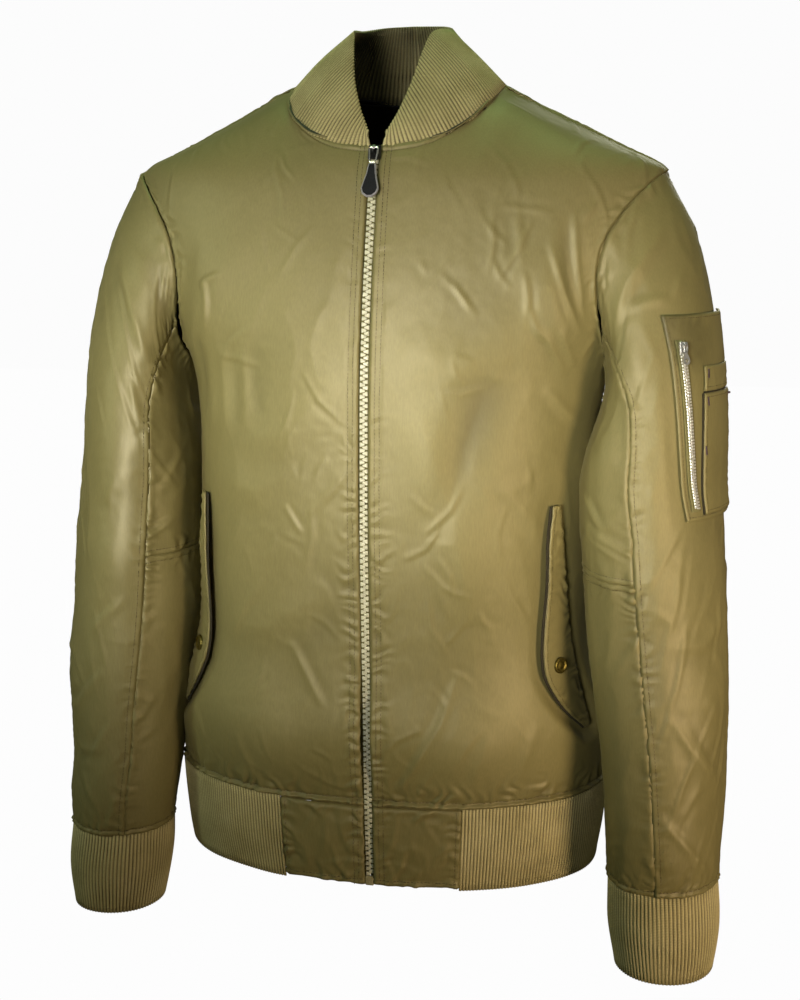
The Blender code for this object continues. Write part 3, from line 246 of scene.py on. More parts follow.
def show_white(tree, lit, shown, output):
    """Let the camera see a plain white shader, while another one lights the scene."""
    ray = add_node(tree, "ShaderNodeLightPath").outputs["Is Camera Ray"]
    either = add_node(tree, "ShaderNodeMixShader", slots={0: ray, 1: lit, 2: shown})
    tree.links.new(either.outputs[0], tree.nodes[output].inputs[0])


print("mid grey in linear light", round(colour("808080")[0], 3))

# %% [markdown]
# ## Studio lights
# A garment on an unseen form is lit by soft boxes. Satin shows them as broad
# bands, so a main box stands level with the chest, and weaker ones at the sides
# draw the edges of the sleeves. One behind lights the back. Lamps of other
# kinds would do, but an area light's size sets how soft each shade is. The
# Standard view keeps white and the cloth's dye as they are set.

# %% Lights
LIGHTS = (
    # name, place, aim, width, height, watts, tint, spread of the beam in degrees
    ("key", (-0.16, -1.75, -0.12), (0.0, -0.10, -0.27), 0.80, 0.30, 1.55, "FFF7E6", 24),
    ("high", (0.0, 0.30, 1.3), (0.0, 0.0, -0.10), 0.90, 0.60, 9.2, "BCEE9C", 180),
    ("left", (-1.5, -0.9, 0.15), (-0.25, 0.0, -0.3), 0.20, 0.70, 1.2, "E6F2CC", 70),
    ("right", (1.35, -1.1, -0.44), (0.30, 0.0, -0.50), 0.45, 0.70, 1.5, "FFDFB6", 40),
    ("rear", (0.2, 1.9, 0.5), (0.0, 0.0, -0.35), 1.20, 1.00, 14.0, "F4F3E2", 180),
)
for name, place, aim, width, height, watts, tint, spread in LIGHTS:
    data = bpy.data.lights.new(name, "AREA")
    data.shape = "RECTANGLE"
    data.size = width
    data.size_y = height
    data.energy = watts
    data.color = colour(tint)[:3]
    data.spread = math.radians(spread)
    light = bpy.data.objects.new(name, data)
    light.location = place
    light.rotation_euler = (Vector(aim) - Vector(place)).to_track_quat("-Z", "Y").to_euler()
    light.visible_camera = False
    bpy.context.scene.collection.objects.link(light)

bpy.context.scene.view_settings.view_transform = "Standard"
world = bpy.data.worlds.new("studio")
bpy.context.scene.world = world
world.use_nodes = True
sky = world.node_tree.nodes["Background"]
sky.inputs["Color"].default_value = colour("F0F6E4")
sky.inputs["Strength"].default_value = 0.10
backdrop = add_node(world.node_tree, "ShaderNodeBackground", Color=colour("FCFCFC"), Strength=1.0)
show_white(world.node_tree, sky.outputs[0], backdrop.outputs[0], "World Output")
print(len(LIGHTS), "lights")

# %% [markdown]
# ## Floor
# The floor is a sheet of studio paper far below. It is seen white, as lamps of
# its own would light it. What it throws back on the garment is the weak warm
# light of a sheet in shade, so undersides stay dark. Two lamps and a second
# sheet could do that. Light Path tells the two uses apart with one sheet.

# %% Floor
FLOOR_HEIGHT = -1.30
FLOOR_HALF = 9.0

floor_mesh = bpy.data.meshes.new("floor")
floor_bm = bmesh.new()
bmesh.ops.create_grid(floor_bm, x_segments=1, y_segments=1, size=FLOOR_HALF)
bmesh.ops.translate(floor_bm, verts=floor_bm.verts, vec=(0.0, 0.0, FLOOR_HEIGHT))
floor_bm.to_mesh(floor_mesh)
floor_bm.free()
floor = bpy.data.objects.new("floor", floor_mesh)
bpy.context.scene.collection.objects.link(floor)
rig.stage(floor)
paper, paper_tree, paper_shader = new_material("studio_paper", Roughness=0.9)
paper_shader.inputs["Base Color"].default_value = colour("6E604A")
white = add_node(paper_tree, "ShaderNodeEmission", Color=colour("FDFDFD"), Strength=1.0)
show_white(paper_tree, paper_shader.outputs[0], white.outputs[0], "Material Output")
floor_mesh.materials.append(paper)
print("floor at", FLOOR_HEIGHT)

# %% [markdown]
# ## Satin-faced nylon
# A flight jacket's shell is nylon woven in a satin: long threads float on its
# face, so it has a soft silky gloss that takes the colour of the dye. A low
# metallic share gives that coloured gloss. The threads are about 0.1 mm apart.
# That is too fine to show, so a slub ten times coarser stands for them. The dye
# is olive. Ridges that rub are paler, and grooves are darker: painted shade in
# the folds. Slow patches stand for uneven dyeing. A picture of cloth would
# stretch over the folds. Noise on the cloth's own places doesn't.

# %% Satin
THREAD_SLUB = 0.0011       # metres between slubs; real threads are 0.1 mm apart
DYE_PATCH = 0.1667         # a patch of uneven dye
CRUMPLE_SIZE = 0.00833     # the small crumples that handling leaves
SLUB_RUN = 0.14            # a slub is seven times as long as it is wide, up the cloth
MULTIPLY = {"data_type": "RGBA", "blend_type": "MULTIPLY"}

satin, tree, surface = new_material("satin_nylon", Metallic=0.12, Sheen_Weight=0.10, Sheen_Roughness=0.4,
                                    Specular_IOR_Level=0.5)
surface.inputs["Sheen Tint"].default_value = colour("C9C08A")
place = add_node(tree, "ShaderNodeTexCoord").outputs["Object"]
broad = add_node(tree, "ShaderNodeTexNoise", Vector=place, Scale=1 / DYE_PATCH, Detail=3.0, Roughness=0.55)
dye = add_node(tree, "ShaderNodeValToRGB", stops=((0.30, "7D764A"), (0.55, "867F52"), (0.75, "8B8457")),
               Fac=broad.outputs["Fac"])
stretch = add_node(tree, "ShaderNodeMapping", Vector=place, Scale=(1.0, 1.0, SLUB_RUN))
slub = add_node(tree, "ShaderNodeTexNoise", Vector=stretch.outputs["Vector"],
                Scale=1 / THREAD_SLUB, Detail=2.0, Roughness=0.6)
threads = add_node(tree, "ShaderNodeValToRGB", stops=((0.25, "D0D0D0"), (0.75, "FFFFFF")),
                   Fac=slub.outputs["Fac"])
woven = add_node(tree, "ShaderNodeMix", MULTIPLY,
                 {0: 0.45, 6: dye.outputs["Color"], 7: threads.outputs["Color"]})
relief = add_node(tree, "ShaderNodeAttribute", {"attribute_name": "relief"})
# painted shade: the grooves of folds and seams are darkened by their depth; ridges are a little paler, as rubbed
rub_and_groove_shade = add_node(tree, "ShaderNodeValToRGB", stops=((0.1, "A8A8A8"), (0.45, "F0F0F0"), (0.9, "FFFFFF")),
                Fac=relief.outputs["Fac"])
rubbed_and_shaded = add_node(tree, "ShaderNodeMix", MULTIPLY, {0: 0.9, 6: woven.outputs[2], 7: rub_and_groove_shade.outputs["Color"]})
tree.links.new(rubbed_and_shaded.outputs[2], surface.inputs["Base Color"])
crumple = add_node(tree, "ShaderNodeTexNoise", Vector=place, Scale=1 / CRUMPLE_SIZE,
                   Detail=3.0, Roughness=0.5)
raised = add_node(tree, "ShaderNodeBump", Strength=0.16, Distance=0.0008, Height=crumple.outputs["Fac"])
weave = add_node(tree, "ShaderNodeBump", Strength=0.15, Distance=0.00012,
                 Height=slub.outputs["Fac"], Normal=raised.outputs["Normal"])
tree.links.new(weave.outputs["Normal"], surface.inputs["Normal"])
gloss = add_node(tree, "ShaderNodeMapRange", slots={1: 0.3, 2: 0.7, 3: 0.47, 4: 0.56},
                 Value=broad.outputs["Fac"])
tree.links.new(gloss.outputs["Result"], surface.inputs["Roughness"])
print("material", satin.name)

# %% [markdown]
# ## Ribbed knit
# Collar, cuffs and hem are a worsted rib: a dull yarn in upright ribs. Each rib
# is a column of small V-shaped loops, about 1.4 mm high. Modelled loops would
# take millions of faces, so they are a wave in the bump, along the way up that
# the piece carries. The grooves between the ribs hold shade. The piece carries
# how deep each point lies too, and the material darkens by that.

# %% Knit
LOOP_HEIGHT = 0.0014       # metres
YARN_PATCH = 0.0455        # a patch of yarn from one dye bath
FLUFF_SIZE = 0.000909      # tufts of hair on the yarn

knit, tree, surface = new_material("worsted_rib_knit", Roughness=0.85, Sheen_Weight=0.25, Sheen_Roughness=0.5,
                                   Specular_IOR_Level=0.3)
surface.inputs["Sheen Tint"].default_value = colour("C4BB86")
place = add_node(tree, "ShaderNodeTexCoord").outputs["Object"]
broad = add_node(tree, "ShaderNodeTexNoise", Vector=place, Scale=1 / YARN_PATCH, Detail=3.0)
dye = add_node(tree, "ShaderNodeValToRGB", stops=((0.30, "B7AD7D"), (0.52, "C9BF8E"), (0.75, "D6CD9E")),
               Fac=broad.outputs["Fac"])
up = add_node(tree, "ShaderNodeAttribute", {"attribute_name": "up"})
loops = add_node(tree, "ShaderNodeMath", {"operation": "MULTIPLY"},
                 {0: up.outputs["Fac"], 1: 2 * math.pi / LOOP_HEIGHT})
wave = add_node(tree, "ShaderNodeMath", {"operation": "SINE"}, {0: loops.outputs[0]})
fluff = add_node(tree, "ShaderNodeTexNoise", Vector=place, Scale=1 / FLUFF_SIZE, Detail=2.0)
relief = add_node(tree, "ShaderNodeAttribute", {"attribute_name": "relief"})
# painted shade: the knit darkens by how deep each point lies in the grooves between its ribs
shaded = add_node(tree, "ShaderNodeValToRGB", stops=((0.05, "383838"), (0.5, "D0D0D0"), (0.9, "FFFFFF")),
                  Fac=relief.outputs["Fac"])
grooved = add_node(tree, "ShaderNodeMix", MULTIPLY,
                   {0: 1.0, 6: dye.outputs["Color"], 7: shaded.outputs["Color"]})
yarn = add_node(tree, "ShaderNodeValToRGB", stops=((0.3, "C4C4C4"), (0.7, "FFFFFF")),
                Fac=fluff.outputs["Fac"])
hairy = add_node(tree, "ShaderNodeMix", MULTIPLY, {0: 0.6, 6: grooved.outputs[2], 7: yarn.outputs["Color"]})
tree.links.new(hairy.outputs[2], surface.inputs["Base Color"])
looped = add_node(tree, "ShaderNodeBump", Strength=0.35, Distance=0.0002, Height=wave.outputs[0])
soft = add_node(tree, "ShaderNodeBump", Strength=0.4, Distance=0.0002,
                Height=fluff.outputs["Fac"], Normal=looped.outputs["Normal"])
tree.links.new(soft.outputs["Normal"], surface.inputs["Normal"])
print("material", knit.name)

# %% [markdown]
# ## Threads, tapes, lining, metals and leather
# The smaller parts use plainer recipes: a base colour, a fine noise in it, and
# a bump of the same grain. A recipe of its own for each could show more, but
# these parts are a few millimetres wide and their gloss is what tells them
# apart. The metals are castings in zinc, and what is plated on them decides
# their colour.

# %% Small materials


def grained(name, dark, light, grain, bump, distance=0.0001, **shader):
    """A material whose colour and bump follow one noise of a given grain in metres."""
    material, tree, surface = new_material(name, **shader)
    place = add_node(tree, "ShaderNodeTexCoord").outputs["Object"]
    spots = add_node(tree, "ShaderNodeTexNoise", Vector=place, Scale=1 / grain, Detail=3.0)
    tint = add_node(tree, "ShaderNodeValToRGB", stops=((0.3, dark), (0.7, light)), Fac=spots.outputs["Fac"])
    tree.links.new(tint.outputs["Color"], surface.inputs["Base Color"])
    rough = add_node(tree, "ShaderNodeBump", Strength=bump, Distance=distance, Height=spots.outputs["Fac"])
    tree.links.new(rough.outputs["Normal"], surface.inputs["Normal"])
    return material


# twisted filament: a soft gloss on each stitch, in a darker olive than the satin
thread = grained("nylon_sewing_thread", "3E371A", "564D2A", 0.0006, 0.2, Roughness=0.5)
# dense plum thread, which marks the corners of the pen slots
bartack = grained("rayon_bartack_thread", "3A2C3A", "5A4858", 0.0006, 0.2, Roughness=0.5)
# close herringbone of dull yarn, rough and without gloss
tape = grained("herringbone_polyester_tape", "5C5A34", "7C7A50", 0.0007, 0.6, 0.0002, Roughness=0.8)
# plain-woven lining: almost black inside the neck
lining = grained("black_nylon_taffeta", "070707", "121211", 0.0008, 0.3, 0.0002, Roughness=0.55)
# painted shade: a near-black strip that stands for the shade in a pocket's mouth
pocket_mouth_shade = grained("pocket_mouth_painted_shade", "1D1A0E", "2C2816", 0.0008, 0.3, 0.0002, Roughness=0.9)
# moulded teeth: pale and smooth, with a waxy gloss
resin = grained("moulded_acetal_resin", "B4B49C", "D0D1BE", 0.004, 0.1, Roughness=0.42)
# stamped and plated teeth: a white metal with a broad gloss
nickel = grained("nickel_plated_brass_teeth", "D0D0CC", "ECECE8", 0.002, 0.1, Roughness=0.34, Metallic=0.7)
# bright plating on a casting: small sharp highlights
chrome = grained("chromed_zinc_casting", "DADCDE", "F0F1F2", 0.003, 0.05, Roughness=0.22, Metallic=0.9)
# oxidised plating: dark grey metal that still shines
dark_zinc = grained("blackened_zinc_casting", "3A3A3C", "58585A", 0.002, 0.15, Roughness=0.34, Metallic=1.0)
# brownish plating with a satin gloss, on the snaps
brass = grained("antique_brass_plating", "5E5528", "857A42", 0.002, 0.2, Roughness=0.42, Metallic=1.0)
# light casting at the foot of the zip, half dulled by handling
pale_brass = grained("pale_brass_casting", "A59C76", "C8C09C", 0.002, 0.1, Roughness=0.45, Metallic=0.5)
# finely grained hide, blue-black and nearly dull
leather = grained("grained_cowhide", "07080F", "13141E", 0.0009, 0.5, 0.0003, Roughness=0.6,
                  Specular_IOR_Level=0.3)
# the cut edge of the hide under grey paint, which draws its outline
edge_paint = grained("edge_painted_leather", "70717A", "92939B", 0.0012, 0.3, Roughness=0.5)
print(len(bpy.data.materials), "materials")

# %% [markdown]
# ## One skin of a panel
# Each cloth solid is a wall between two grids of points. Folded cloth could be
# drawn afresh, but then it would leave the place and outline that the solid
# gives. So the finer cloth is laid on the solid's own outer skin. To find it,
# the narrow faces round the rim go, and the larger skin that is left stays.

# %% Read one skin
WELD = 2e-5
BODY_RIM = 0.0039          # a panel's edges through the wall are shorter than this
PATCH_RIM = 0.0024         # and those of the thinner pieces sewn on it


def biggest_island(bm):
    """The connected part of a mesh with the largest area."""
    left = set(bm.verts)
    best, best_area = None, -1.0
    while left:
        stack = [left.pop()]
        island = set(stack)
        while stack:
            vert = stack.pop()
            for edge in vert.link_edges:
                other = edge.other_vert(vert)
                if other in left:
                    left.discard(other)
                    island.add(other)
                    stack.append(other)
        area = sum(face.calc_area() for face in {f for v in island for f in v.link_faces})
        if area > best_area:
            best, best_area = island, area
    return best


def through_wall(edge, rim):
    """Whether a short edge runs from a wall's outer skin to its inner one."""
    a, b = edge.verts
    way = b.co - a.co
    steep = max(abs(way.dot(a.normal)), abs(way.dot(b.normal))) > 0.3 * way.length
    return way.length < 0.78 * rim or (way.length < rim and steep)


def smooth_skin(bm, near, bend=60):
    """The faces that carry on from the one nearest to a place, with no sharp bend between."""
    start = min((face for face in bm.faces if face.calc_area() > 1e-5),
                key=lambda face: (face.calc_center_median() - Vector(near)).length)
    found, left = {start}, [start]
    while left:
        face = left.pop()
        for other in (other for edge in face.edges for other in edge.link_faces if other not in found):
            if other.normal.angle(face.normal) < math.radians(bend):
                found.add(other)
                left.append(other)
    return found


def one_skin(node, rim=BODY_RIM, wanted=None, near=None):
    """A copy of a CAD wall with one of its two skins only, and that skin's points.

    Either near is a place on a smooth skin, or the narrow sides are left out,
    which have an edge through the wall shorter than rim. wanted then says which
    faces look the right way, where it matters.
    """
    bm = bmesh.new()
    bm.from_mesh(NODES[node].data)
    bmesh.ops.remove_doubles(bm, verts=bm.verts[:], dist=WELD)
    bm.normal_update()
    if near is not None:
        kept = smooth_skin(bm, near)
        unwanted = [face for face in bm.faces if face not in kept]
    else:
        unwanted = [face for face in bm.faces
                    if any(through_wall(edge, rim) for edge in face.edges) or (wanted and not wanted(face))]
    bmesh.ops.delete(bm, geom=unwanted, context="FACES")
    return bm, biggest_island(bm)


bm, skin = one_skin("back")
print("the back's skin has", len(skin), "points")
bm.free()

# %% [markdown]
# ## Rows and columns
# The skin's points come in no order. How many steps a point is from two edges
# of the panel gives its row and column. Its places in space could be sorted
# instead, but on a sleeve they double back. Steps along the mesh never do.

# %% Read a grid


def steps_from(starts):
    """How many edges each vertex is from the nearest start."""
    found = {vert: 0 for vert in starts}
    ring = list(starts)
    while ring:
        following = []
        for vert in ring:
            for edge in vert.link_edges:
                other = edge.other_vert(vert)
                if other not in found:
                    found[other] = found[vert] + 1
                    following.append(other)
        ring = following
    return found


def outer_grid(node, columns, rows, corner, along, **skin):
    """Points and outward directions of a wall's outer face, by column and row.

    corner is near the first column's first point, and along is the way in
    which the first row leaves it.
    """
    bm, island = one_skin(node, **skin)
    bmesh.ops.delete(bm, geom=[vert for vert in bm.verts if vert not in island], context="VERTS")
    bm.normal_update()
    border = [edge for edge in bm.edges if len(edge.link_faces) == 1]
    beside = {}
    for edge in border:
        a, b = edge.verts
        beside.setdefault(a, []).append(b)
        beside.setdefault(b, []).append(a)
    start = min(beside, key=lambda vert: (vert.co - Vector(corner)).length)
    first = max(beside[start], key=lambda vert: (vert.co - start.co).dot(Vector(along)))
    second = next(vert for vert in beside[start] if vert != first)
    edges = []
    for here, count in ((first, columns), (second, rows)):
        line = [start, here]
        while len(line) < count:
            line.append(next(vert for vert in beside[line[-1]] if vert != line[-2]))
        edges.append(line)
    row_of = steps_from(edges[0])
    column_of = steps_from(edges[1])
    points = np.full((columns, rows, 3), np.nan)
    outward = np.zeros((columns, rows, 3))
    for vert in bm.verts:
        points[column_of[vert], row_of[vert]] = vert.co
        outward[column_of[vert], row_of[vert]] = vert.normal
    bm.free()
    if np.isnan(points).any():
        raise ValueError("the grid of " + node + " was not read whole")
    return points, outward


grid, _ = outer_grid("pocket_flap_left", 4, 13, (0.1598, -0.0784, -0.360), (-1, -1.4, 0), rim=PATCH_RIM)
print("a flap reads as", grid.shape)

# %% [markdown]
# ## Curves between the points
# A curve through the points passes through every one of them, so the cloth lies
# exactly where the solid is, and between them it is round. Subdivision would
# shrink away from them. The curve's slopes take account of how far apart the
# points are, so that close points make no loops.

# %% Refine a grid


def curve_through(points, at):
    """Values of a table of points at fractional rows, by smooth cubic curves."""
    last = len(points) - 1
    step = np.diff(points, axis=0)
    length = np.maximum(np.linalg.norm(step, axis=2, keepdims=True), 1e-6)
    slope = step / length
    middle = (length[1:] * slope[:-1] + length[:-1] * slope[1:]) / (length[1:] + length[:-1])
    tangent = np.concatenate([slope[:1], middle, slope[-1:]])
    k = np.clip(at.astype(int), 0, last - 1)
    t = (at - k)[:, None, None]
    start = (1 + 2 * t) * (1 - t)**2 * points[k] + t * (1 - t)**2 * length[k] * tangent[k]
    end = t**2 * (3 - 2 * t) * points[k + 1] - t**2 * (1 - t) * length[k] * tangent[k + 1]
    return start + end


def fine_places(points, axis, spacing, edge=1.0):
    """Fractional rows of a grid that lie about one spacing apart; edge is the share of it at the ends."""
    widths = np.linalg.norm(np.diff(points, axis=axis), axis=2).mean(axis=1 - axis)
    places = []
    for k, width in enumerate(widths):
        at_end = k in (0, len(widths) - 1)
        count = max(1, round(float(width) / spacing / (edge if at_end else 1.0)))
        places += [k + i / count for i in range(count)]
    return np.array(places + [len(widths)], dtype=float)


peak = np.array([[[0.0, 0.0, 0.0]], [[1.0, 1.0, 0.0]], [[2.0, 0.0, 0.0]]])
print("half way up a peak the curve is at", curve_through(peak, np.array([0.5]))[0, 0])

# %% [markdown]
# ## An even grid
# A coarse grid leaves slight kinks at its points, and satin shows each of them
# as a line. The points inside a panel slide along the surface until they are
# evenly spread, and the kinks are averaged out. Smoothing alone would pull the
# panel flat, so a step that leaves the surface isn't taken.

# %% Even out a grid


def unit(vectors):
    return vectors / np.maximum(np.linalg.norm(vectors, axis=-1, keepdims=True), 1e-12)


def run_lengths(points, axis):
    """Distance along each row of a grid from its start."""
    steps = np.linalg.norm(np.diff(points, axis=axis), axis=2)
    start = np.zeros_like(np.take(steps, [0], axis=axis))
    return np.cumsum(np.concatenate([start, steps], axis=axis), axis=axis)


def relaxed(points, guide, times):
    """Slide the inner points along the surface until the grid is even; its rim stays.

    guide holds the ways out of the surface, so that no step leaves it.
    """
    points = points.copy()
    for step in range(times):
        beside = points[2:, 1:-1] + points[:-2, 1:-1] + points[1:-1, 2:] + points[1:-1, :-2]
        move = (beside / 4 - points[1:-1, 1:-1]) * 0.9
        way = guide[1:-1, 1:-1]
        points[1:-1, 1:-1] += move - way * np.sum(move * way, axis=2, keepdims=True)
        if step % 20 == 19:
            across = np.cross(np.gradient(points, axis=0), np.gradient(points, axis=1))
            guide = unit(softened(unit(across), 4))
    return points


def softened(points, times):
    """The grid with its slight kinks evened out; its rim stays."""
    for _ in range(times):
        inner = points[1:-1, 1:-1]
        beside = points[2:, 1:-1] + points[:-2, 1:-1] + points[1:-1, 2:] + points[1:-1, :-2]
        points = points.copy()
        points[1:-1, 1:-1] = inner / 2 + beside / 8
    return points


print("unit of 3, 0, 4", unit(np.array([3.0, 0.0, 4.0])))

# %% [markdown]
# ## From a grid to a mesh
# A grid of faces is laid through the places, and Solidify gives it the cloth's
# thickness inwards. It could be extruded by hand, but the modifier keeps both
# skins the same distance apart over every fold. Two attributes go with it for
# the materials: how high a point stands, and how far up the panel it is.

# %% Mesh from a grid


def sheet_of(name, places, flipped, thickness, materials, raised=None, up=None, weld=False):
    """A grid laid through places, given thickness by Solidify.

    A second material is for its inner side. raised and up go to the materials
    as attributes: how high each point stands in its folds, and how far up it is.
    """
    wide, high = places.shape[:2]
    bm = bmesh.new()
    bmesh.ops.create_grid(bm, x_segments=wide - 1, y_segments=high - 1, size=0.5)
    relief = bm.verts.layers.float.new("relief")
    above = bm.verts.layers.float.new("up")
    for vert in bm.verts:
        i = round((vert.co.x + 0.5) * (wide - 1))
        j = round((vert.co.y + 0.5) * (high - 1))
        vert.co = places[i, j]
        vert[relief] = 0.5 if raised is None else raised[i, j]
        vert[above] = 0.0 if up is None else up[i, j]
    if flipped:
        bmesh.ops.reverse_faces(bm, faces=bm.faces)
    if weld:
        bmesh.ops.remove_doubles(bm, verts=bm.verts[:], dist=WELD)
    thing = new_object(name, bm, *materials)
    wall = thing.modifiers.new("wall", "SOLIDIFY")
    wall.thickness = thickness
    wall.offset = -1.0
    wall.material_offset = len(materials) - 1
    return thing


def new_object(name, bm, *materials):
    """An object from a bmesh, smooth all over."""
    mesh = bpy.data.meshes.new(name)
    bm.to_mesh(mesh)
    bm.free()
    mesh.shade_smooth()
    thing = bpy.data.objects.new(name, mesh)
    bpy.context.scene.collection.objects.link(thing)
    for material in materials:
        mesh.materials.append(material)
    return thing


print("helpers for meshes ready")

# %% [markdown]
# ## A cloth to shape
# Folds, seams and sewn rows all ask the same of a panel: how far a point is
# from each edge, and which way is out. A small class keeps that beside the
# grid. Whatever shapes the cloth adds to one field of heights, so most steps
# can come in any order. Only what flattens the cloth beneath a patch, or fades
# its folds at a corner, comes after the folds that it acts on.

# %% Cloth


class Cloth:
    """A fine grid over one panel, with what its folds and seams need to know."""

    def __init__(self, node, coarse, outward, u, v, reach=0.0, relax=0, soften=0):
        self.node = node
        self.u, self.v = u, v
        fine = curve_through(coarse, u)
        fine = curve_through(fine.transpose(1, 0, 2), v).transpose(1, 0, 2)
        if relax:
            guide = curve_through(curve_through(outward, u).transpose(1, 0, 2), v).transpose(1, 0, 2)
            fine = relaxed(fine, unit(guide), relax)
        fine = softened(fine, soften)
        self.points = fine
        normal = unit(np.cross(np.gradient(fine, axis=0), np.gradient(fine, axis=1)))
        i, j = coarse.shape[0] // 2, coarse.shape[1] // 2
        nearest = normal[np.searchsorted(u, i), np.searchsorted(v, j)]
        self.flipped = float(np.dot(nearest, outward[i, j])) < 0
        self.normal = -normal if self.flipped else normal
        self.along = run_lengths(fine, 0)      # from the first column
        self.up = run_lengths(fine, 1)         # from the first row
        self.to = {
            "start": self.along,
            "end": self.along[-1:] - self.along,
            "bottom": self.up,
            "top": self.up[:, -1:] - self.up,
        }
        self.height = np.zeros(fine.shape[:2])
        self.stitches = []
        if reach:
            self.stretch_edges(reach)

    def stretch_edges(self, reach, axes=(0, 1)):
        """Carry the rim on by a little, so that panels meet in their seam."""
        for axis in axes:
            for edge, inner in ((0, 1), (-1, -2)):
                here = np.take(self.points, edge, axis=axis)
                step = unit(here - np.take(self.points, inner, axis=axis)) * reach
                if axis == 0:
                    self.points[edge] += step
                else:
                    self.points[:, edge] += step

    def turn_round(self):
        """Let the panel's inner skin stand for its outer one."""
        self.flipped = not self.flipped
        self.normal = -self.normal

    def surface(self):
        return self.points + self.normal * self.height[:, :, None]

    def line(self, edge, away):
        """Places and outward directions along a line that keeps a distance from an edge."""
        surface, distance = self.surface(), self.to[edge]
        normal = self.normal
        if edge in ("start", "end"):
            surface, distance, normal = (x.swapaxes(0, 1) for x in (surface, distance, normal))
        places, ways = [], []
        for row, gap, way in zip(surface, distance, normal):
            order = np.argsort(gap)
            if gap[order[-1]] < away:
                continue
            k = int(np.argmin(np.abs(gap - away)))
            places.append([np.interp(away, gap[order], row[order, axis]) for axis in range(3)])
            ways.append(way[k])
        return np.array(places), np.array(ways)

    def piece(self, name, thickness, *materials, relief=0.0015, weld=False):
        """The cloth with its folds, as a mesh object with thickness."""
        raised = np.clip(0.5 + self.height / (2 * relief), 0.0, 1.0)
        return sheet_of(name, self.surface(), self.flipped, thickness, materials, raised, self.up, weld)


def place_piece(piece, slot, *replaced, body="jacket"):
    """Put a piece on its body, name its finish and the CAD nodes that it stands for."""
    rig.ride(piece, body)
    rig.slot(piece, slot)
    if replaced:
        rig.replaces(piece, *replaced)
    return piece


def panel(node, columns, rows, corner, along, spacing, reach=0.0, relax=0, soften=0, edge=1.0, **skin):
    """The fine cloth of a CAD panel, with points about one spacing apart."""
    coarse, outward = outer_grid(node, columns, rows, corner, along, **skin)
    across, down = fine_places(coarse, 0, spacing), fine_places(coarse, 1, spacing, edge)
    return Cloth(node, coarse, outward, across, down, reach, relax, soften)


print("cloth tools ready")

# %% [markdown]
# ## Folds
# Worn nylon creases where the body bends. A cloth simulation would find creases
# of its own, but not in chosen places. So each fold is drawn: a soft ridge with
# a trough on one side, uneven in length and height. On the body a fold runs
# through places given by x and height. On a sleeve it runs through distances
# round the arm, from the outermost line towards the front, and heights.

# %% Fold shapes
MM = 1000                  # millimetres in a metre
TROUGH_AWAY = 1.7          # of a fold, in its own widths from the crest
TROUGH_WIDTH = 1.25        # in the same widths


def fold(places, line, width, height, lean=0.45):
    """Height of one fold at places in its own plane: a ridge with a trough beside it."""
    best = np.full(len(places), 1e9)
    side = np.zeros(len(places))
    share = np.zeros(len(places))
    line = np.array(line, dtype=float)
    lengths = np.linalg.norm(np.diff(line, axis=0), axis=1)
    total = lengths.sum()
    done = 0.0
    for a, b, length in zip(line[:-1], line[1:], lengths):
        way = (b - a) / length
        rest = places - a
        t = np.clip(rest @ way, 0.0, length)
        off = rest - t[:, None] * way
        distance = np.linalg.norm(off, axis=1)
        nearer = distance < best
        best = np.where(nearer, distance, best)
        side = np.where(nearer, np.sign(off[:, 0] * way[1] - off[:, 1] * way[0]), side)
        share = np.where(nearer, (done + t) / total, share)
        done += length
    across = best * side / width
    taper = np.sin(np.pi * np.clip(share, 0.0, 1.0)) ** 0.6
    ridge = np.exp(-np.abs(across) ** 1.5) - lean * np.exp(-((across - TROUGH_AWAY) / TROUGH_WIDTH) ** 2)
    return height * ridge * taper


def gaussian(distance, width):
    return np.exp(-(distance / width) ** 2)


def smooth_step(t):
    t = np.clip(t, 0.0, 1.0)
    return t * t * (3.0 - 2.0 * t)


def add_folds(cloth, places, folds):
    """Raise a table of folds, given in tenths of a millimetre and millimetres."""
    flat = places.reshape(-1, 2)
    for width, height, *bends in folds:
        line = np.reshape(bends, (-1, 2)) / MM
        raised = fold(flat, line, width / (10 * MM), height / (10 * MM))
        cloth.height += raised.reshape(cloth.height.shape)


across = np.array([[0.0, 0.5], [0.5, 0.5], [TROUGH_AWAY, 0.5]])
print("crest, flank and trough of a fold", np.round(fold(across, ((0, 0), (0, 1)), 1.0, 1.0), 2))

# %% [markdown]
# ## Padding and crumples
# Light padding makes long slow swells, and handled nylon keeps sharp little
# creases. Neither has a place of its own. Noise gives the swells, and noise
# folded back on itself gives crests. Short creases are thrown over the panel
# from a seed, so that they fall the same way each time.

# %% Padding and crumples
SWELL_SIZE = 0.075         # metres across a swell of the padding
CALM_SIZE = 0.11           # across the stretches that crumple more or less
CRUMPLE_CELL = 0.034       # from one crumpled crest to the next
WRINKLE_SIZE = 0.009
CREASE_SIZES = (0.085, 0.055)


def noise_at(points, size, seed=0.0):
    """Smooth noise of about -0.5 to 0.5, over lumps of one size."""
    flat = points.reshape(-1, 3) / size + seed
    return np.array([noise.noise(Vector(p)) for p in flat]).reshape(points.shape[:2])


def ridges_at(points, size, seed=0.0, sharp=3):
    """Crumpled noise from 0 to 1: narrow crests between wide hollows."""
    return (1.0 - np.minimum(np.abs(noise_at(points, size, seed)) * 2.6, 1.0)) ** sharp


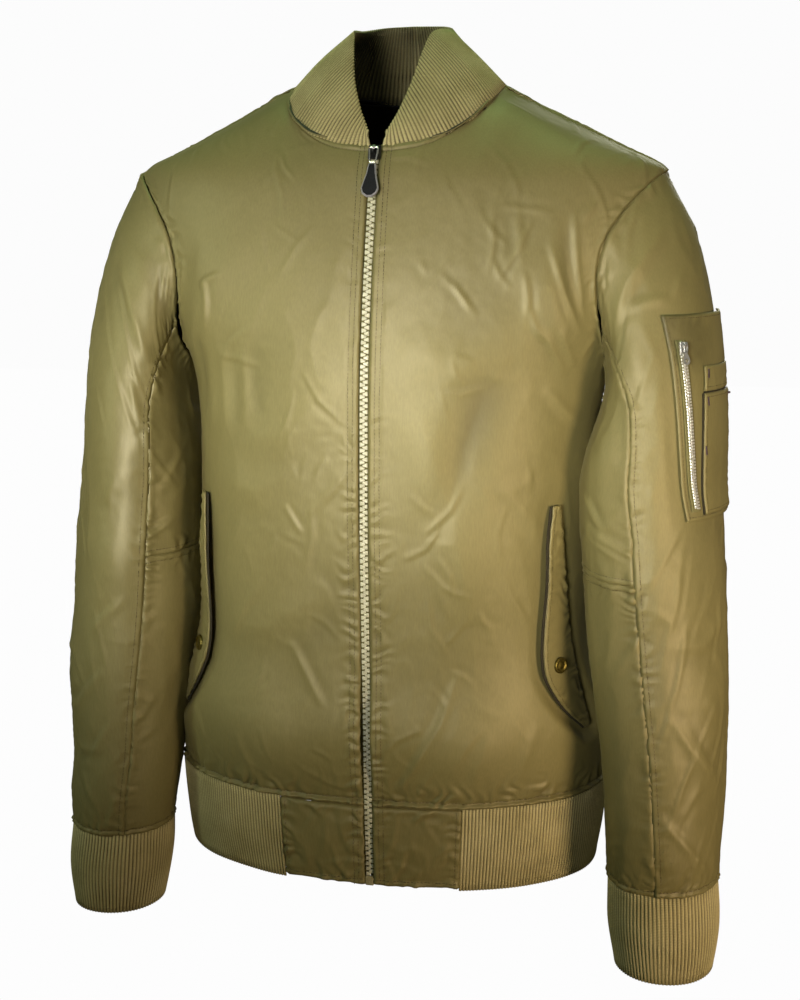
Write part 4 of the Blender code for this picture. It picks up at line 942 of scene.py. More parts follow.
def pad_and_crumple(cloth, swell, crumple, fine, crease=0.0, seed=0.0):
    """Unevenness of padded cloth: long swells, crumples, sharp long creases and small wrinkles."""
    slow = cloth.points * np.array([1.0, 1.0, 0.55])
    cloth.height += swell * 2 * noise_at(slow, SWELL_SIZE, seed)
    lively = smooth_step(0.5 + 1.6 * noise_at(slow, CALM_SIZE, seed + 20.0))
    cloth.height += crumple * lively * (ridges_at(slow, CRUMPLE_CELL, seed + 3.0) - 0.3)
    cloth.height += fine * 2 * noise_at(cloth.points, WRINKLE_SIZE, seed + 5.0)
    if crease:
        tilted = cloth.points @ np.array([[1.0, 0.0, 0.35], [0.0, 1.0, 0.2], [-0.5, 0.0, 0.6]])
        for turn, size in zip((0.0, 31.0), CREASE_SIZES):
            shown = smooth_step(0.35 + 2.2 * noise_at(cloth.points, 0.06, seed + turn + 9.0))
            cloth.height += crease * shown * ridges_at(tilted, size, seed + turn, sharp=7)
            tilted = tilted * np.array([-1.0, 1.0, 1.0])


def scatter_creases(cloth, count, length, width, height, seed, slope=0.45):
    """Sharp short creases here and there, most of them steep."""
    chance = np.random.default_rng(seed)
    places = np.stack([cloth.along, cloth.up], axis=2)
    for _ in range(count):
        middle = places[chance.integers(places.shape[0]), chance.integers(places.shape[1])]
        turn = chance.choice((-0.5, 0.5)) + chance.normal(0.0, slope)
        way = np.array([math.sin(turn), math.cos(turn)]) * length * chance.uniform(0.4, 1.3)
        bend = np.array([way[1], -way[0]]) * chance.uniform(-0.12, 0.12)
        near = np.linalg.norm(places - middle, axis=2) < length
        cloth.height[near] += fold(places[near], (middle - way / 2, middle + bend, middle + way / 2), width,
                                   height * chance.uniform(0.3, 1.0))


print("noise at one place", round(float(noise_at(np.full((1, 1, 3), 0.1), 0.05)[0, 0]), 4))

# %% [markdown]
# ## Seams
# At a seam the cloth turns in, so its rim dips and a narrow groove shows. The
# turned-in allowance makes a low ridge beside it. A sewn row pulls the cloth
# into small puckers that fade within a centimetre or two. A bump would show
# none of that in the outline, so all of it is shape.

# %% Seam shapes
GROOVE_WIDTH = 0.0015      # of the dip at a seam
RIDGE_AWAY = 0.0032        # from the seam to the ridge of its allowance
RIDGE_WIDTH = 0.0020


def seam(cloth, edge, dip=0.0013, roll=0.0009, pucker=0.0005, pitch=0.011, reach=0.010, where=1.0, seed=1.0):
    """Shape the cloth beside one of its edges; where scales the puckers."""
    distance = cloth.to[edge]
    run = -cloth.points[:, :, 2] if edge in ("start", "end") else cloth.along
    wander = noise_at(cloth.points, 0.018, seed)
    phase = 2 * np.pi * run / pitch + 9.0 * wander
    strength = (0.45 + 3.2 * np.abs(noise_at(cloth.points, 0.03, seed + 7.0))) * where
    cloth.height -= dip * gaussian(distance, GROOVE_WIDTH)
    cloth.height += roll * gaussian(distance - RIDGE_AWAY, RIDGE_WIDTH)
    waves = np.sin(phase) * gaussian(np.maximum(distance - 0.003, 0.0), reach)
    cloth.height += pucker * strength * waves * smooth_step(distance / 0.002)


def calm_corner(cloth, first, second, reach=0.025):
    """Let folds and seams fade towards a corner where several panels meet."""
    cloth.height *= smooth_step(np.hypot(cloth.to[first], cloth.to[second]) / reach)


def topstitch(cloth, edge, away, depth=0.0007, width=0.0009):
    """A sewn row: the groove that it presses into the cloth, and its stitches."""
    cloth.height -= depth * gaussian(cloth.to[edge] - away, width)
    cloth.stitches.append((edge, away))


def keep_under(cloth, covers, reach=0.012, below=0.0004):
    """Let no fold of the cloth rise through what is sewn on it."""
    for cover in covers:
        tree = kdtree.KDTree(cover.points.shape[0] * cover.points.shape[1])
        for number, place in enumerate(cover.points.reshape(-1, 3)):
            tree.insert(place, number)
        tree.balance()
        gap = np.array([tree.find(place)[2] for place in cloth.points.reshape(-1, 3)])
        share = smooth_step((gap.reshape(cloth.height.shape) - 0.004) / reach)
        low = np.minimum(cloth.height, -below)
        cloth.height = low + (cloth.height - low) * share


print("seam shapes ready")

# %% [markdown]
# ## Stitches
# A sewn row is short straight stretches of thread, each a little sunk in the
# cloth. Drawn on the cloth they would blur from near by. Here each stitch is a
# rod with five sides, because there are thousands of them.

# %% Stitches and finished pieces
STITCH_PITCH = 0.0032
STITCH_LENGTH = 0.0024
THREAD_RADIUS = 0.00034
SHELL = 0.0016             # thickness of the shell with its lining
SHELL_RELIEF = 0.006       # the height of a fold at which the shell is palest
PATCH_RELIEF = 0.0015      # the same on a flap or a pocket
SHEETS = []                # pieces to declare as cloth, with their flat cut and what is sewn on them


def add_rod(bm, middle, way, radius, length):
    """One short rod of thread in a mesh."""
    turn = Vector(way).to_track_quat("Z", "Y").to_matrix().to_4x4()
    bmesh.ops.create_cone(bm, cap_ends=True, segments=5, radius1=radius, radius2=radius, depth=length,
                          matrix=Matrix.Translation(Vector(middle)) @ turn)


def stitch_row(bm, places, ways):
    """Stitches one pitch apart along a line on the cloth."""
    steps = np.linalg.norm(np.diff(places, axis=0), axis=1)
    run = np.concatenate([[0.0], np.cumsum(steps)])
    for k in range(1, int(run[-1] / STITCH_PITCH)):
        at = [k * STITCH_PITCH + end * STITCH_LENGTH / 2 for end in (-1, 0, 1)]
        start, middle, end = (np.array([np.interp(x, run, places[:, axis]) for axis in range(3)]) for x in at)
        out = np.array([np.interp(at[1], run, ways[:, axis]) for axis in range(3)])
        add_rod(bm, middle - out * THREAD_RADIUS * 0.5, end - start, THREAD_RADIUS, STITCH_LENGTH)


def sew(cloth):
    """The stitches of a panel's sewn rows, as one piece."""
    bm = bmesh.new()
    for edge, away in cloth.stitches:
        stitch_row(bm, *cloth.line(edge, away))
    return place_piece(new_object(cloth.node + "_stitches", bm, thread), "satin")


def finish_satin(cloth, flat, area, held, thickness=SHELL, lined=True):
    """A shaped panel as a satin piece with its stitches, noted as a sheet."""
    materials = (satin, lining) if lined else (satin,)
    relief = SHELL_RELIEF if lined else PATCH_RELIEF
    piece = cloth.piece(cloth.node + "_cloth", thickness, *materials, relief=relief)
    place_piece(piece, "satin", cloth.node)
    SHEETS.append((piece, flat, area, held, [sew(cloth)]))
    print(piece.name, cloth.points.shape)


print("stitch", STITCH_LENGTH, "m, every", STITCH_PITCH, "m")

# %% [markdown]
# ## Where the patches lie
# Pocket flaps, the utility pocket and its zip lie on the big panels. A patch
# could be pressed on its panel afterwards, but the real one is sewn down and
# holds the cloth flat. So the patches are read first, and the panels then lie
# flat beneath them.

# %% Patches
PATCH_SPACING = 0.0022
ARM_OUT = Vector((0.8, -0.6, 0.0))      # out of the left sleeve, where its pocket is


def patch(node, columns, rows, corner, along):
    return panel(node, columns, rows, corner, along, PATCH_SPACING, rim=PATCH_RIM)


def faces_arm_out(face):
    return face.normal.dot(ARM_OUT) > 0


flaps = {
    "left": patch("pocket_flap_left", 4, 13, (0.1598, -0.0784, -0.360), (-1, -1.4, 0)),
    "right": patch("pocket_flap_right", 4, 13, (-0.163, -0.079, -0.360), (1, -1.4, 0)),
}
arm_patch = patch("sleeve_pocket", 10, 8, (0.2675, -0.1032, -0.3656), (0.03, 0.075, 0))
pen_lower = patch("pen_pocket_lower", 6, 6, (0.282, -0.0885, -0.3613), (0.02, 0.05, 0))
pen_upper = patch("pen_pocket_upper", 5, 2, (0.2769, -0.0744, -0.2598), (0.02, 0.05, 0))
arm_tape = panel("arm_zip_tape", 2, 8, (0.2774, -0.0926, -0.3574), (-1, 0, 0), 0.0015, rim=0.0012,
                 wanted=faces_arm_out)
arm_chain = panel("arm_zip_chain", 2, 8, (0.2773, -0.0953, -0.3551), (-1, 0, 0), 0.0015, rim=0.0018,
                  wanted=faces_arm_out)
print("utility pocket", arm_patch.points.shape)

# %% [markdown]
# ## Folds of the body
# The fronts crease from the armhole, at the waist and above the hem, and the
# back across the shoulder blades and the small of the back. The tables hold one
# fold a row. The right front's x are counted from the zip too.

# %% Body folds
FRONT_FOLDS = {
    # width and height in tenths of a millimetre, then x and z of each bend in millimetres
    "left": (
        (25, 18, 166, -112, 169, -150, 175, -200),
        (25, 17, 148, -138, 160, -176, 173, -214),
        (47, -14, 158, -118, 161, -150, 166, -190),
        (31, 15, 135, -203, 149, -219, 161, -248),
        (31, 14, 158, -209, 168, -242),
        (39, 15, 146, -258, 171, -294),
        (22, 7, 43, -153, 50, -164),
        (23, 8, 71, -169, 86, -191),
        (39, 10, 120, -116, 124, -135, 127, -160),
        (31, 10, 172, -122, 183, -106),
        (39, 14, 79, -503, 65, -546, 27, -613),
        (33, 11, 53, -566, 31, -610),
        (200, 29, 43, -272, 74, -360, 90, -460),
        (160, -31, 104, -248, 84, -304, 64, -385),
        (55, 10, 112, -335, 138, -372, 150, -410),
        (31, 7, 60, -420, 72, -452),
        (47, 12, 142, -545, 126, -606),
        (43, 11, 104, -556, 88, -612),
        (31, 7, 18, -520, 22, -570),
        (160, 16, 30, -222, 80, -236, 120, -232),
    ),
    "right": (
        (25, 15, 156, -177, 148, -171, 133, -165),
        (28, 16, 151, -168, 148, -190, 151, -216),
        (23, 6, 28, -146, 22, -186),
        (31, 7, 100, -118, 89, -162),
        (66, 19, 133, -226, 131, -300),
        (62, 15, 112, -228, 107, -300),
        (62, -19, 160, -220, 158, -300),
        (25, 10, 71, -360, 55, -383),
        (31, 11, 6, -320, 28, -346, 47, -367),
        (28, 10, 46, -360, 45, -384, 53, -418),
        (33, 11, 93, -427, 110, -452, 128, -487),
        (37, 12, 69, -481, 37, -537),
        (33, 12, 168, -560, 156, -594),
        (39, 11, 120, -570, 104, -616),
        (140, 18, 60, -330, 100, -350, 140, -345),
        (150, 20, 30, -430, 90, -470, 140, -475),
        (180, 18, 20, -250, 70, -300, 120, -310),
    ),
}
BACK_FOLDS = (
    (62, 21, -165, -225, -130, -185, -90, -150),
    (62, 21, 168, -222, 132, -180, 96, -142),
    (78, 19, -168, -262, -120, -245, -60, -255),
    (78, 17, 166, -268, 115, -252, 50, -262),
    (94, 16, -150, -330, -90, -350, -30, -340),
    (94, 16, 140, -350, 80, -372, 20, -360),
    (78, 14, -60, -430, -10, -445, 60, -432),
    (86, 16, -160, -480, -110, -500, -50, -492),
    (86, 15, 155, -500, 100, -520, 40, -508),
    (47, 14, -120, -545, -104, -605),
    (43, 12, -40, -555, -50, -608),
    (47, 14, 50, -550, 40, -606),
    (47, 12, 130, -540, 118, -600),
    (39, 7, 10, -120, 4, -200),
    (35, 9, -80, -110, -95, -150),
)
print(sum(len(folds) for folds in FRONT_FOLDS.values()) + len(BACK_FOLDS), "body folds")

# %% [markdown]
# ## Body panels
# The fronts and the back take those folds over the swells of their padding.
# Above the hem the body blouses out over the band, so it swells there and turns
# under. Both fronts carry two sewn rows beside the zip, whose tape doesn't
# stretch, so the cloth puckers along it.

# %% Body panels
FRONT_SPACING = 0.00228
BACK_SPACING = 0.0036
BODY_GRID = {"reach": 0.0008, "relax": 240, "edge": 0.5}
FRONT_CUT = ((0.27, 0.66), 0.147)
BACK_CUT = ((0.50, 0.66), 0.300)
BLOUSE = (-0.565, 0.042, 0.0075)      # height, spread and size of the swell above the hem
POCKET_SWELL = (-0.37, 0.10, 0.004)   # the same for the one that the pocket makes
TO_ZIP_STITCH = (0.0046, 0.0088)      # from a front edge to its two sewn rows


def shape_body(cloth, folds):
    """The padding, folds and blouse of one body panel."""
    is_back = cloth.node == "back"
    pad_and_crumple(cloth, swell=0.0009, crumple=0.0004, fine=0.00010, crease=0.0003)
    scatter_creases(cloth, 70, 0.050, 0.0034 if is_back else 0.0023, 0.0010, seed=len(cloth.node))
    places = cloth.points[:, :, ::2]
    add_folds(cloth, places if is_back else np.abs(places) * np.array([1, -1]), folds)
    level, spread, size = BLOUSE
    cloth.height += size * gaussian(cloth.points[:, :, 2] - level, spread) * smooth_step(cloth.up / 0.02)


def finish_body(cloth, sides, cut):
    """The seams with the hem and at the top, which fade where panels meet."""
    seam(cloth, "bottom", dip=0.0016, roll=0.0022, pucker=0.0010, pitch=0.013, reach=0.022, seed=6.0)
    topstitch(cloth, "bottom", 0.0062, depth=0.0018, width=0.0011)
    seam(cloth, "top", dip=0.0005, roll=0.0009, pucker=0.0002, seed=7.0)
    topstitch(cloth, "top", 0.0054, depth=0.0010)
    for edge in sides:
        calm_corner(cloth, "top", edge)
        calm_corner(cloth, "bottom", edge, reach=0.012)
    finish_satin(cloth, *cut, "hung")


for side_name, side in SIDES:
    cloth = panel("front_" + side_name, 12, 19, (side * 0.0048, -0.13, -0.628), (side, 0, 0), FRONT_SPACING,
                  soften=60, **BODY_GRID)
    shape_body(cloth, FRONT_FOLDS[side_name])
    level, spread, size = POCKET_SWELL
    cloth.height += size * gaussian(cloth.points[:, :, 2] - level, spread) * gaussian(cloth.to["end"], 0.05)
    seam(cloth, "end", roll=0.0007, seed=4.0)
    lower = 0.25 + 0.75 * smooth_step((-0.26 - cloth.points[:, :, 2]) / 0.18)
    seam(cloth, "start", dip=0.0006, roll=0.0003, pucker=0.0008, pitch=0.0115, where=lower, seed=5.0)
    keep_under(cloth, [flaps[side_name]])
    for away in TO_ZIP_STITCH:
        topstitch(cloth, "start", away, depth=0.0005)
    finish_body(cloth, ("end",), FRONT_CUT)

cloth = panel("back", 23, 19, (-0.2, 0.0, -0.628), (0.3, 1.0, 0.0), BACK_SPACING, soften=30, **BODY_GRID)
shape_body(cloth, BACK_FOLDS)
seam(cloth, "start", roll=0.0007, seed=4.0)
seam(cloth, "end", roll=0.0007, seed=4.0)
finish_body(cloth, ("start", "end"), BACK_CUT)

# %% [markdown]
# ## Folds of the sleeves
# A sleeve creases in the bend of the elbow, below the armhole, and where it
# stacks above the cuff. A fold crosses from one panel to the next, so folds are
# placed round the whole arm and not on each panel.

# %% Sleeve folds
SLEEVE_FOLDS = {
    # width and height in tenths of a millimetre, then way round and z of each bend in millimetres
    "left": (
        (47, 21, 45, -122, 57, -138, 93, -173, 128, -218),
        (35, 16, 106, -193, 83, -187, 60, -184),
        (31, 12, 80, -126, 86, -156),
        (31, 12, 111, -256, 99, -281),
        (33, 17, 171, -346, 155, -356, 137, -376),
        (36, 20, 170, -372, 130, -386, 92, -397),
        (31, 14, 162, -382, 112, -400),
        (28, 12, 153, -350, 139, -376),
        (23, 9, 76, -505, 84, -527),
        (41, 21, 81, -526, 60, -556, 35, -588),
        (36, 17, 69, -528, 50, -560, 23, -595),
        (41, 20, 102, -610, 70, -640, 35, -675),
        (33, 14, 120, -640, 98, -678),
        (31, 12, 60, -655, 48, -684),
        (62, 15, 10, -450, 40, -470, 75, -468),
        (39, 10, 90, -435, 70, -452),
        (62, 16, -20, -240, -60, -270),
        (62, 20, -10, -420, -60, -410, -110, -425),
        (47, 17, -30, -520, -80, -545),
        (47, 17, -20, -600, -70, -640),
    ),
    "right": (
        (78, -22, 70, -134, 112, -187, 158, -230),
        (47, 19, 52, -150, 88, -196, 130, -250),
        (36, 14, 104, -260, 120, -300),
        (39, 16, 168, -330, 140, -360),
        (36, 16, 160, -386, 120, -404),
        (62, 14, 40, -330, 60, -380, 58, -430),
        (39, 15, 110, -455, 70, -490),
        (41, 19, 95, -520, 55, -560, 30, -570),
        (33, 14, 40, -510, 70, -550),
        (39, 17, 20, -580, 60, -605, 100, -600),
        (36, 15, 105, -570, 75, -615),
        (36, 16, 60, -625, 90, -660),
        (36, 15, 20, -630, 35, -680),
        (31, 14, 120, -640, 105, -684),
        (62, 17, -10, -300, -50, -330),
        (62, 20, -10, -430, -60, -420, -110, -435),
        (47, 17, -20, -540, -80, -560),
        (47, 17, -10, -610, -70, -650),
    ),
}
print(sum(len(folds) for folds in SLEEVE_FOLDS.values()), "sleeve folds")

# %% [markdown]
# ## Places round the arm
# The top panel goes over the arm from seam to seam, and the two under panels
# close it below. Near the armhole the seams bend towards their straight run, so
# a panel's columns are a different share of the turn at each height.

# %% Round the arm
ARM_GIRTH = 0.43           # metres round the upper arm, for places round it
SEAM_LEAVES = 0.35         # share of a turn at which the front sleeve seam leaves the armhole
SEAM_RUNS = {"left": (0.245, 0.735), "right": (0.300, 0.735)}
SEAM_SETTLES = 0.30        # share of the sleeve by which the seams run straight
SLEEVE_ROWS = 13
ELBOW_ROW = 7


def seam_turn(side_name, which, down):
    """Turn round the arm of the front (0) or back (1) sleeve seam at a share down the sleeve."""
    start = 1.0 - SEAM_LEAVES if which else SEAM_LEAVES
    return start + (SEAM_RUNS[side_name][which] - start) * smooth_step(down / SEAM_SETTLES)


def places_round_arm(cloth, side_name, first_row, is_top):
    """Distance round the arm and height of every point of a sleeve panel."""
    down = (first_row + cloth.v)[None, :] / SLEEVE_ROWS
    front, back = seam_turn(side_name, 0, down), seam_turn(side_name, 1, down)
    start, end = (back - 1.0, front) if is_top else (front, back)
    turn = start + (end - start) * (cloth.u / cloth.u[-1])[:, None]
    return np.stack([turn * ARM_GIRTH, cloth.points[:, :, 2]], axis=2)


print("front seam at the cuff", round(float(seam_turn("left", 0, 1.0)) * ARM_GIRTH, 3), "m round the arm")

# %% [markdown]
# ## Sleeves
# Each sleeve is three panels: a top one that runs from armhole to cuff, and two
# under the arm that meet in a seam at the elbow. They are shaped one by one,
# with the same seed on both sides of a seam, so that its puckers meet.

# %% Sleeve panels
SLEEVE_SPACING = 0.0029
SLEEVE_PARTS = (
    # name, columns, rows, first sleeve row, corner, way along, creases, flat size, flat area
    ("sleeve_top_", 15, 14, 0, (0.176, 0.075, -0.213), (0, 0, 1), 80, (0.33, 0.58), 0.137),
    ("sleeve_under_upper_", 7, 8, 0, (0.2, -0.065, -0.213), (0, 1, 0), 26, (0.19, 0.34), 0.037),
    ("sleeve_under_lower_", 7, 7, ELBOW_ROW, (0.225, -0.12, -0.418), (-1, 0.2, 0), 26, (0.20, 0.28), 0.050),
)
SLEEVE_ROWS_SEWN = {
    "sleeve_top_": ("end", "start"),
    "sleeve_under_upper_": ("top",),
    "sleeve_under_lower_": ("bottom",),
}
BULGE = {"left": -0.36, "right": -0.50}      # height at which the under panels fill out beside the body


def sew_sleeve(cloth, part):
    """The seams of a sleeve panel with its neighbours, and its sewn rows."""
    for edge in ("start", "end"):
        seam(cloth, edge, dip=0.0006, roll=0.0004, pucker=0.0007, pitch=0.009, reach=0.008, seed=8.0)
    seam(cloth, "bottom", dip=0.0009, roll=0.0006, pucker=0.0007, reach=0.013, seed=10.0)
    if part == "sleeve_under_upper_":
        seam(cloth, "top", dip=0.0009, roll=0.0006, pucker=0.0006, seed=11.0)
    else:      # the seam with the cuff
        seam(cloth, "top", dip=0.0014, roll=0.0013, pucker=0.0006, pitch=0.010, reach=0.015, seed=11.0)
        topstitch(cloth, "top", 0.0060, depth=0.0014, width=0.0011)
    for edge in SLEEVE_ROWS_SEWN[part]:
        topstitch(cloth, edge, 0.0050)


for side_name, side in SIDES:
    for part, columns, rows, first_row, (x, y, z), (run, *rest), creases, flat, area in SLEEVE_PARTS:
        is_top = part == "sleeve_top_"
        cloth = panel(part + side_name, columns, rows, (side * x, y, z), (side * run, *rest), SLEEVE_SPACING,
                      reach=0.0005, soften=16, edge=0.55)
        pad_and_crumple(cloth, swell=0.0014, crumple=0.0008, fine=0.00015, crease=0.0004, seed=11.0)
        scatter_creases(cloth, creases, 0.045, 0.0029, 0.0014, seed=len(cloth.node) + 3)
        add_folds(cloth, places_round_arm(cloth, side_name, first_row, is_top), SLEEVE_FOLDS[side_name])
        if not is_top:
            from_seam = np.minimum(cloth.to["start"], cloth.to["end"])
            full = gaussian(cloth.points[:, :, 2] - BULGE[side_name], 0.12)
            cloth.height += 0.0018 * full * smooth_step(from_seam / 0.03)
        if cloth.node == "sleeve_top_left":
            keep_under(cloth, [arm_patch])
        sew_sleeve(cloth, part)
        finish_satin(cloth, flat, area, "hung")

# %% [markdown]
# ## Reading the knitted bands
# A band's solid has plain ribs outside and a smooth inner skin. The inner skin
# is the easier one to read: a few dozen columns. The collar and the hem have
# ends, and read like any panel. A cuff closes on itself, so its points are
# sorted round its middle.

# %% Read a closed band
KNIT_WALL = 0.0026


def ring_grid(node, columns, rows, near):
    """The inner skin of a closed band, by column round it and row down it."""
    low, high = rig.box(node)
    middle = (low + high) / 2
    bm, island = one_skin(node, near=near)
    points = np.zeros((columns, rows, 3))
    levels = sorted(island, key=lambda vert: -vert.co.z)
    for row in range(rows):
        ring = levels[row * columns:(row + 1) * columns]
        ring.sort(key=lambda vert: math.atan2(vert.co.y - middle.y, vert.co.x - middle.x))
        points[:, row] = [vert.co for vert in ring]
    bm.free()
    outward = np.array(middle) - points
    outward[:, :, 2] = 0.0
    return points, outward


print("knit", KNIT_WALL, "m thick")

# %% [markdown]
# ## Ribbed bands
# The band is drawn again from its inner skin, five points to a rib, with round
# ribs and narrow grooves. A bump alone would leave the edge of a cuff straight,
# where the real one shows every rib. A one-by-one rib looks the same on both
# sides, so one ribbed sheet with thickness serves.

# %% Bands
POINTS_PER_RIB = 5
BAND_ROW = 0.0062          # from one row of points to the next
ALLOWANCE = 0.0014         # how far a band runs on under the satin that is sewn to it
BANDS = (
    # node, columns, rows, ribs, rib depth, swell, a place on the inner skin, flat size, flat area
    ("collar_rib", 81, 4, 160, 0.0011, 0.0010, (0, 0.07, 0.03), (0.46, 0.11), 0.034),
    ("hem_rib", 115, 2, 290, 0.0012, 0.0018, (0, 0.10, -0.66), (0.86, 0.078), 0.066),
    ("cuff_rib_left", 34, 3, 88, 0.0012, 0.0012, (0.255, -0.05, -0.73), (0.30, 0.080), 0.0235),
    ("cuff_rib_right", 34, 3, 88, 0.0012, 0.0012, (-0.26, -0.03, -0.73), (0.30, 0.080), 0.0235),
)
ENDS = {
    # first corner of a band with ends, and the way in which its first row leaves it
    "collar_rib": ((-0.0049, -0.0841, -0.0599), (-1, 0, 0)),
    "hem_rib": ((0.084, -0.12, -0.629), (1, 0, 0)),
}


def ribbed(cloth, ribs, depth, swell, wander=0.10):
    """Give a band its ribs, over its whole width, and a slight swell across its height."""
    cloth.turn_round()
    cloth.points = cloth.points + cloth.normal * KNIT_WALL
    share = (cloth.u / cloth.u[-1])[:, None] * ribs + wander * noise_at(cloth.points, 0.03, 3.0)
    rise = np.abs(np.sin(np.pi * share)) ** 0.7
    height = cloth.up / cloth.up[:, -1:]
    cloth.height = swell * np.sin(np.pi * height) + 0.0012 * noise_at(cloth.points, 0.045, 4.0)
    cloth.points = cloth.surface()
    cloth.height = depth * (rise - 0.55)


for node, columns, rows, ribs, depth, swell, near, flat, area in BANDS:
    closed = node not in ENDS
    if closed:
        grids = ring_grid(node, columns, rows, near)
        coarse, outward = (np.concatenate([grid[-2:], grid, grid[:3]]) for grid in grids)
    else:
        coarse, outward = outer_grid(node, columns, rows, *ENDS[node], near=near)
    first, cells = (2, columns) if closed else (0, columns - 1)
    u = first + np.linspace(0.0, cells, ribs * POINTS_PER_RIB + 1)
    cloth = Cloth(node, coarse, outward, u, fine_places(coarse, 1, BAND_ROW))
    cloth.u = cloth.u - first
    cloth.stretch_edges(ALLOWANCE, axes=(1,))
    ribbed(cloth, ribs, depth, swell)
    if closed:
        for field in (cloth.points, cloth.normal, cloth.height):
            field[-1] = field[0]
    piece = cloth.piece(node + "_knit", 0.0018, knit, relief=depth * 0.55, weld=closed)
    place_piece(piece, "knit", node)
    SHEETS.append((piece, flat, area, "stretched", []))
    print(piece.name, cloth.points.shape)

# %% [markdown]
# ## Hem fronts
# Beside the zip the hem is satin, folded over itself, so its lower edge is
# round. The sewn row where the knit begins puckers it, and so does the zip. A
# flat strip would look like card, so it takes the same crumples as the fronts.

# %% Hem fronts
for side_name, side in SIDES:
    cloth = panel("hem_front_" + side_name, 7, 2, (side * 0.0048, -0.1199, -0.705), (side, 0, 0), 0.0022,
                  reach=0.0006)
    pad_and_crumple(cloth, swell=0.0012, crumple=0.0012, fine=0.00015, crease=0.0005, seed=31.0)
    scatter_creases(cloth, 16, 0.040, 0.0023, 0.0018, seed=33, slope=0.6)
    cloth.height += 0.0022 * np.sin(np.pi * cloth.up / cloth.up[:, -1:]) ** 0.6
    seam(cloth, "bottom", dip=0.0030, roll=0.0014, pucker=0.0004, seed=32.0)
    topstitch(cloth, "bottom", 0.0060, depth=0.0008)
    seam(cloth, "top", dip=0.0008, roll=0.0010, pucker=0.0006, pitch=0.013, seed=33.0)
    seam(cloth, "end", dip=0.0012, roll=0.0008, pucker=0.0012, pitch=0.0085, reach=0.009, seed=34.0)
    seam(cloth, "start", dip=0.0008, roll=0.0003, pucker=0.0009, pitch=0.0115, seed=35.0)
    topstitch(cloth, "end", 0.0045)
    for away in TO_ZIP_STITCH:
        topstitch(cloth, "start", away, depth=0.0005)
    finish_satin(cloth, (0.080, 0.077), 0.0060, "stretched")

# %% [markdown]
# ## Side pockets
# Each slanted pocket has a long flap, sewn along its back edge. Under the free
# edge the open pocket shows as a dark line of shade. A pocket cut into the front
# would show no more than that from outside, so a near-black strip lies there
# instead: painted shade in the pocket's mouth.

# %% Pocket flaps
FLAP_CUT = ((0.034, 0.21), 0.0064)


def dark_gap(name, rim, inner, out, flipped, reach=0.0026):
    """A near-black strip of painted shade, from under a patch's rim to a little beyond it."""
    way = unit(rim - inner)
    under = rim - out * 0.0012
    strip = np.stack([under - way * 0.005, under + way * 0.0004, under + way * reach - out * 0.0006])
    place_piece(sheet_of(name, strip, flipped, 0.0006, [pocket_mouth_shade]), "lining")


for side_name, cloth in flaps.items():
    points, normal = cloth.points, cloth.normal
    # painted shade: a dark strip in the pocket's mouth under the flap's free edge
    dark_gap("pocket_opening_" + side_name, points[-1], points[-3], normal[-1], cloth.flipped)
    pad_and_crumple(cloth, swell=0.0006, crumple=0.0003, fine=0.00010, seed=41.0)
    cloth.height += 0.0012 * noise_at(cloth.points * np.array([1, 1, 0.6]), 0.05, 44.0)
    seam(cloth, "end", dip=0.0004, roll=0.0004, pucker=0.0003, seed=42.0)
    seam(cloth, "start", dip=0.0008, roll=0.0006, pucker=0.0006, seed=43.0)
    topstitch(cloth, "end", 0.0042)
    topstitch(cloth, "start", 0.0030)
    finish_satin(cloth, *FLAP_CUT, "hung", thickness=0.0014, lined=False)

# %% [markdown]
# ## Snaps
# A snap near the lower end holds each flap. What shows is its pressed cap: a
# low dome with a ring round it. A cylinder with bevelled edges would lack the
# ring, so the cap's profile is spun about its axis.

# %% Snaps
CAP_PROFILE = (
    # radius, height
    (0.0, 0.0011), (0.0026, 0.0009), (0.0040, 0.0004), (0.0046, 0.0005), (0.0054, 0.0013),
    (0.0064, 0.0014), (0.0071, 0.0008), (0.0072, -0.0006),
)
CAP_STEPS = 28


def frame_of(node, towards):
    """Middle of a flat CAD part, and the way out of its broad face."""
    mesh = NODES[node].data
    places = np.array([vert.co for vert in mesh.vertices])
    face = max((f for f in mesh.polygons if f.normal.dot(Vector(towards)) > 0), key=lambda f: f.area)
    return Vector((places.min(axis=0) + places.max(axis=0)) / 2), face.normal.copy()


for side_name, side in SIDES:
    snap = "pocket_snap_" + side_name
    middle, out = frame_of(snap, (side, -0.6, 0))
    bm = bmesh.new()
    verts = [bm.verts.new((radius, 0.0, height)) for radius, height in CAP_PROFILE]
    edges = [bm.edges.new(pair) for pair in zip(verts[:-1], verts[1:])]
    bmesh.ops.spin(bm, geom=verts + edges, cent=(0, 0, 0), axis=(0, 0, 1), angle=2 * math.pi, steps=CAP_STEPS,
                   use_merge=True)
    bmesh.ops.remove_doubles(bm, verts=bm.verts[:], dist=WELD)
    bmesh.ops.recalc_face_normals(bm, faces=bm.faces[:])
    if sum(face.normal.z * face.calc_area() for face in bm.faces) < 0:
        bmesh.ops.reverse_faces(bm, faces=bm.faces)
    turn = out.to_track_quat("Z", "Y").to_matrix().to_4x4()
    bmesh.ops.transform(bm, matrix=Matrix.Translation(middle) @ turn, verts=bm.verts[:])
    place_piece(new_object(snap + "_cap", bm, brass), "brass", snap)
    print(snap, "faces", [round(v, 3) for v in out])

# %% [markdown]
# ## Utility pocket
# On the left sleeve a patch pocket closes with a short zip, and pen pockets
# are sewn over it. Each has a row of stitches inside its edge. They lie flat on
# the arm, so they only take slight crumples, and the pocket lies flat under
# what is sewn on it.

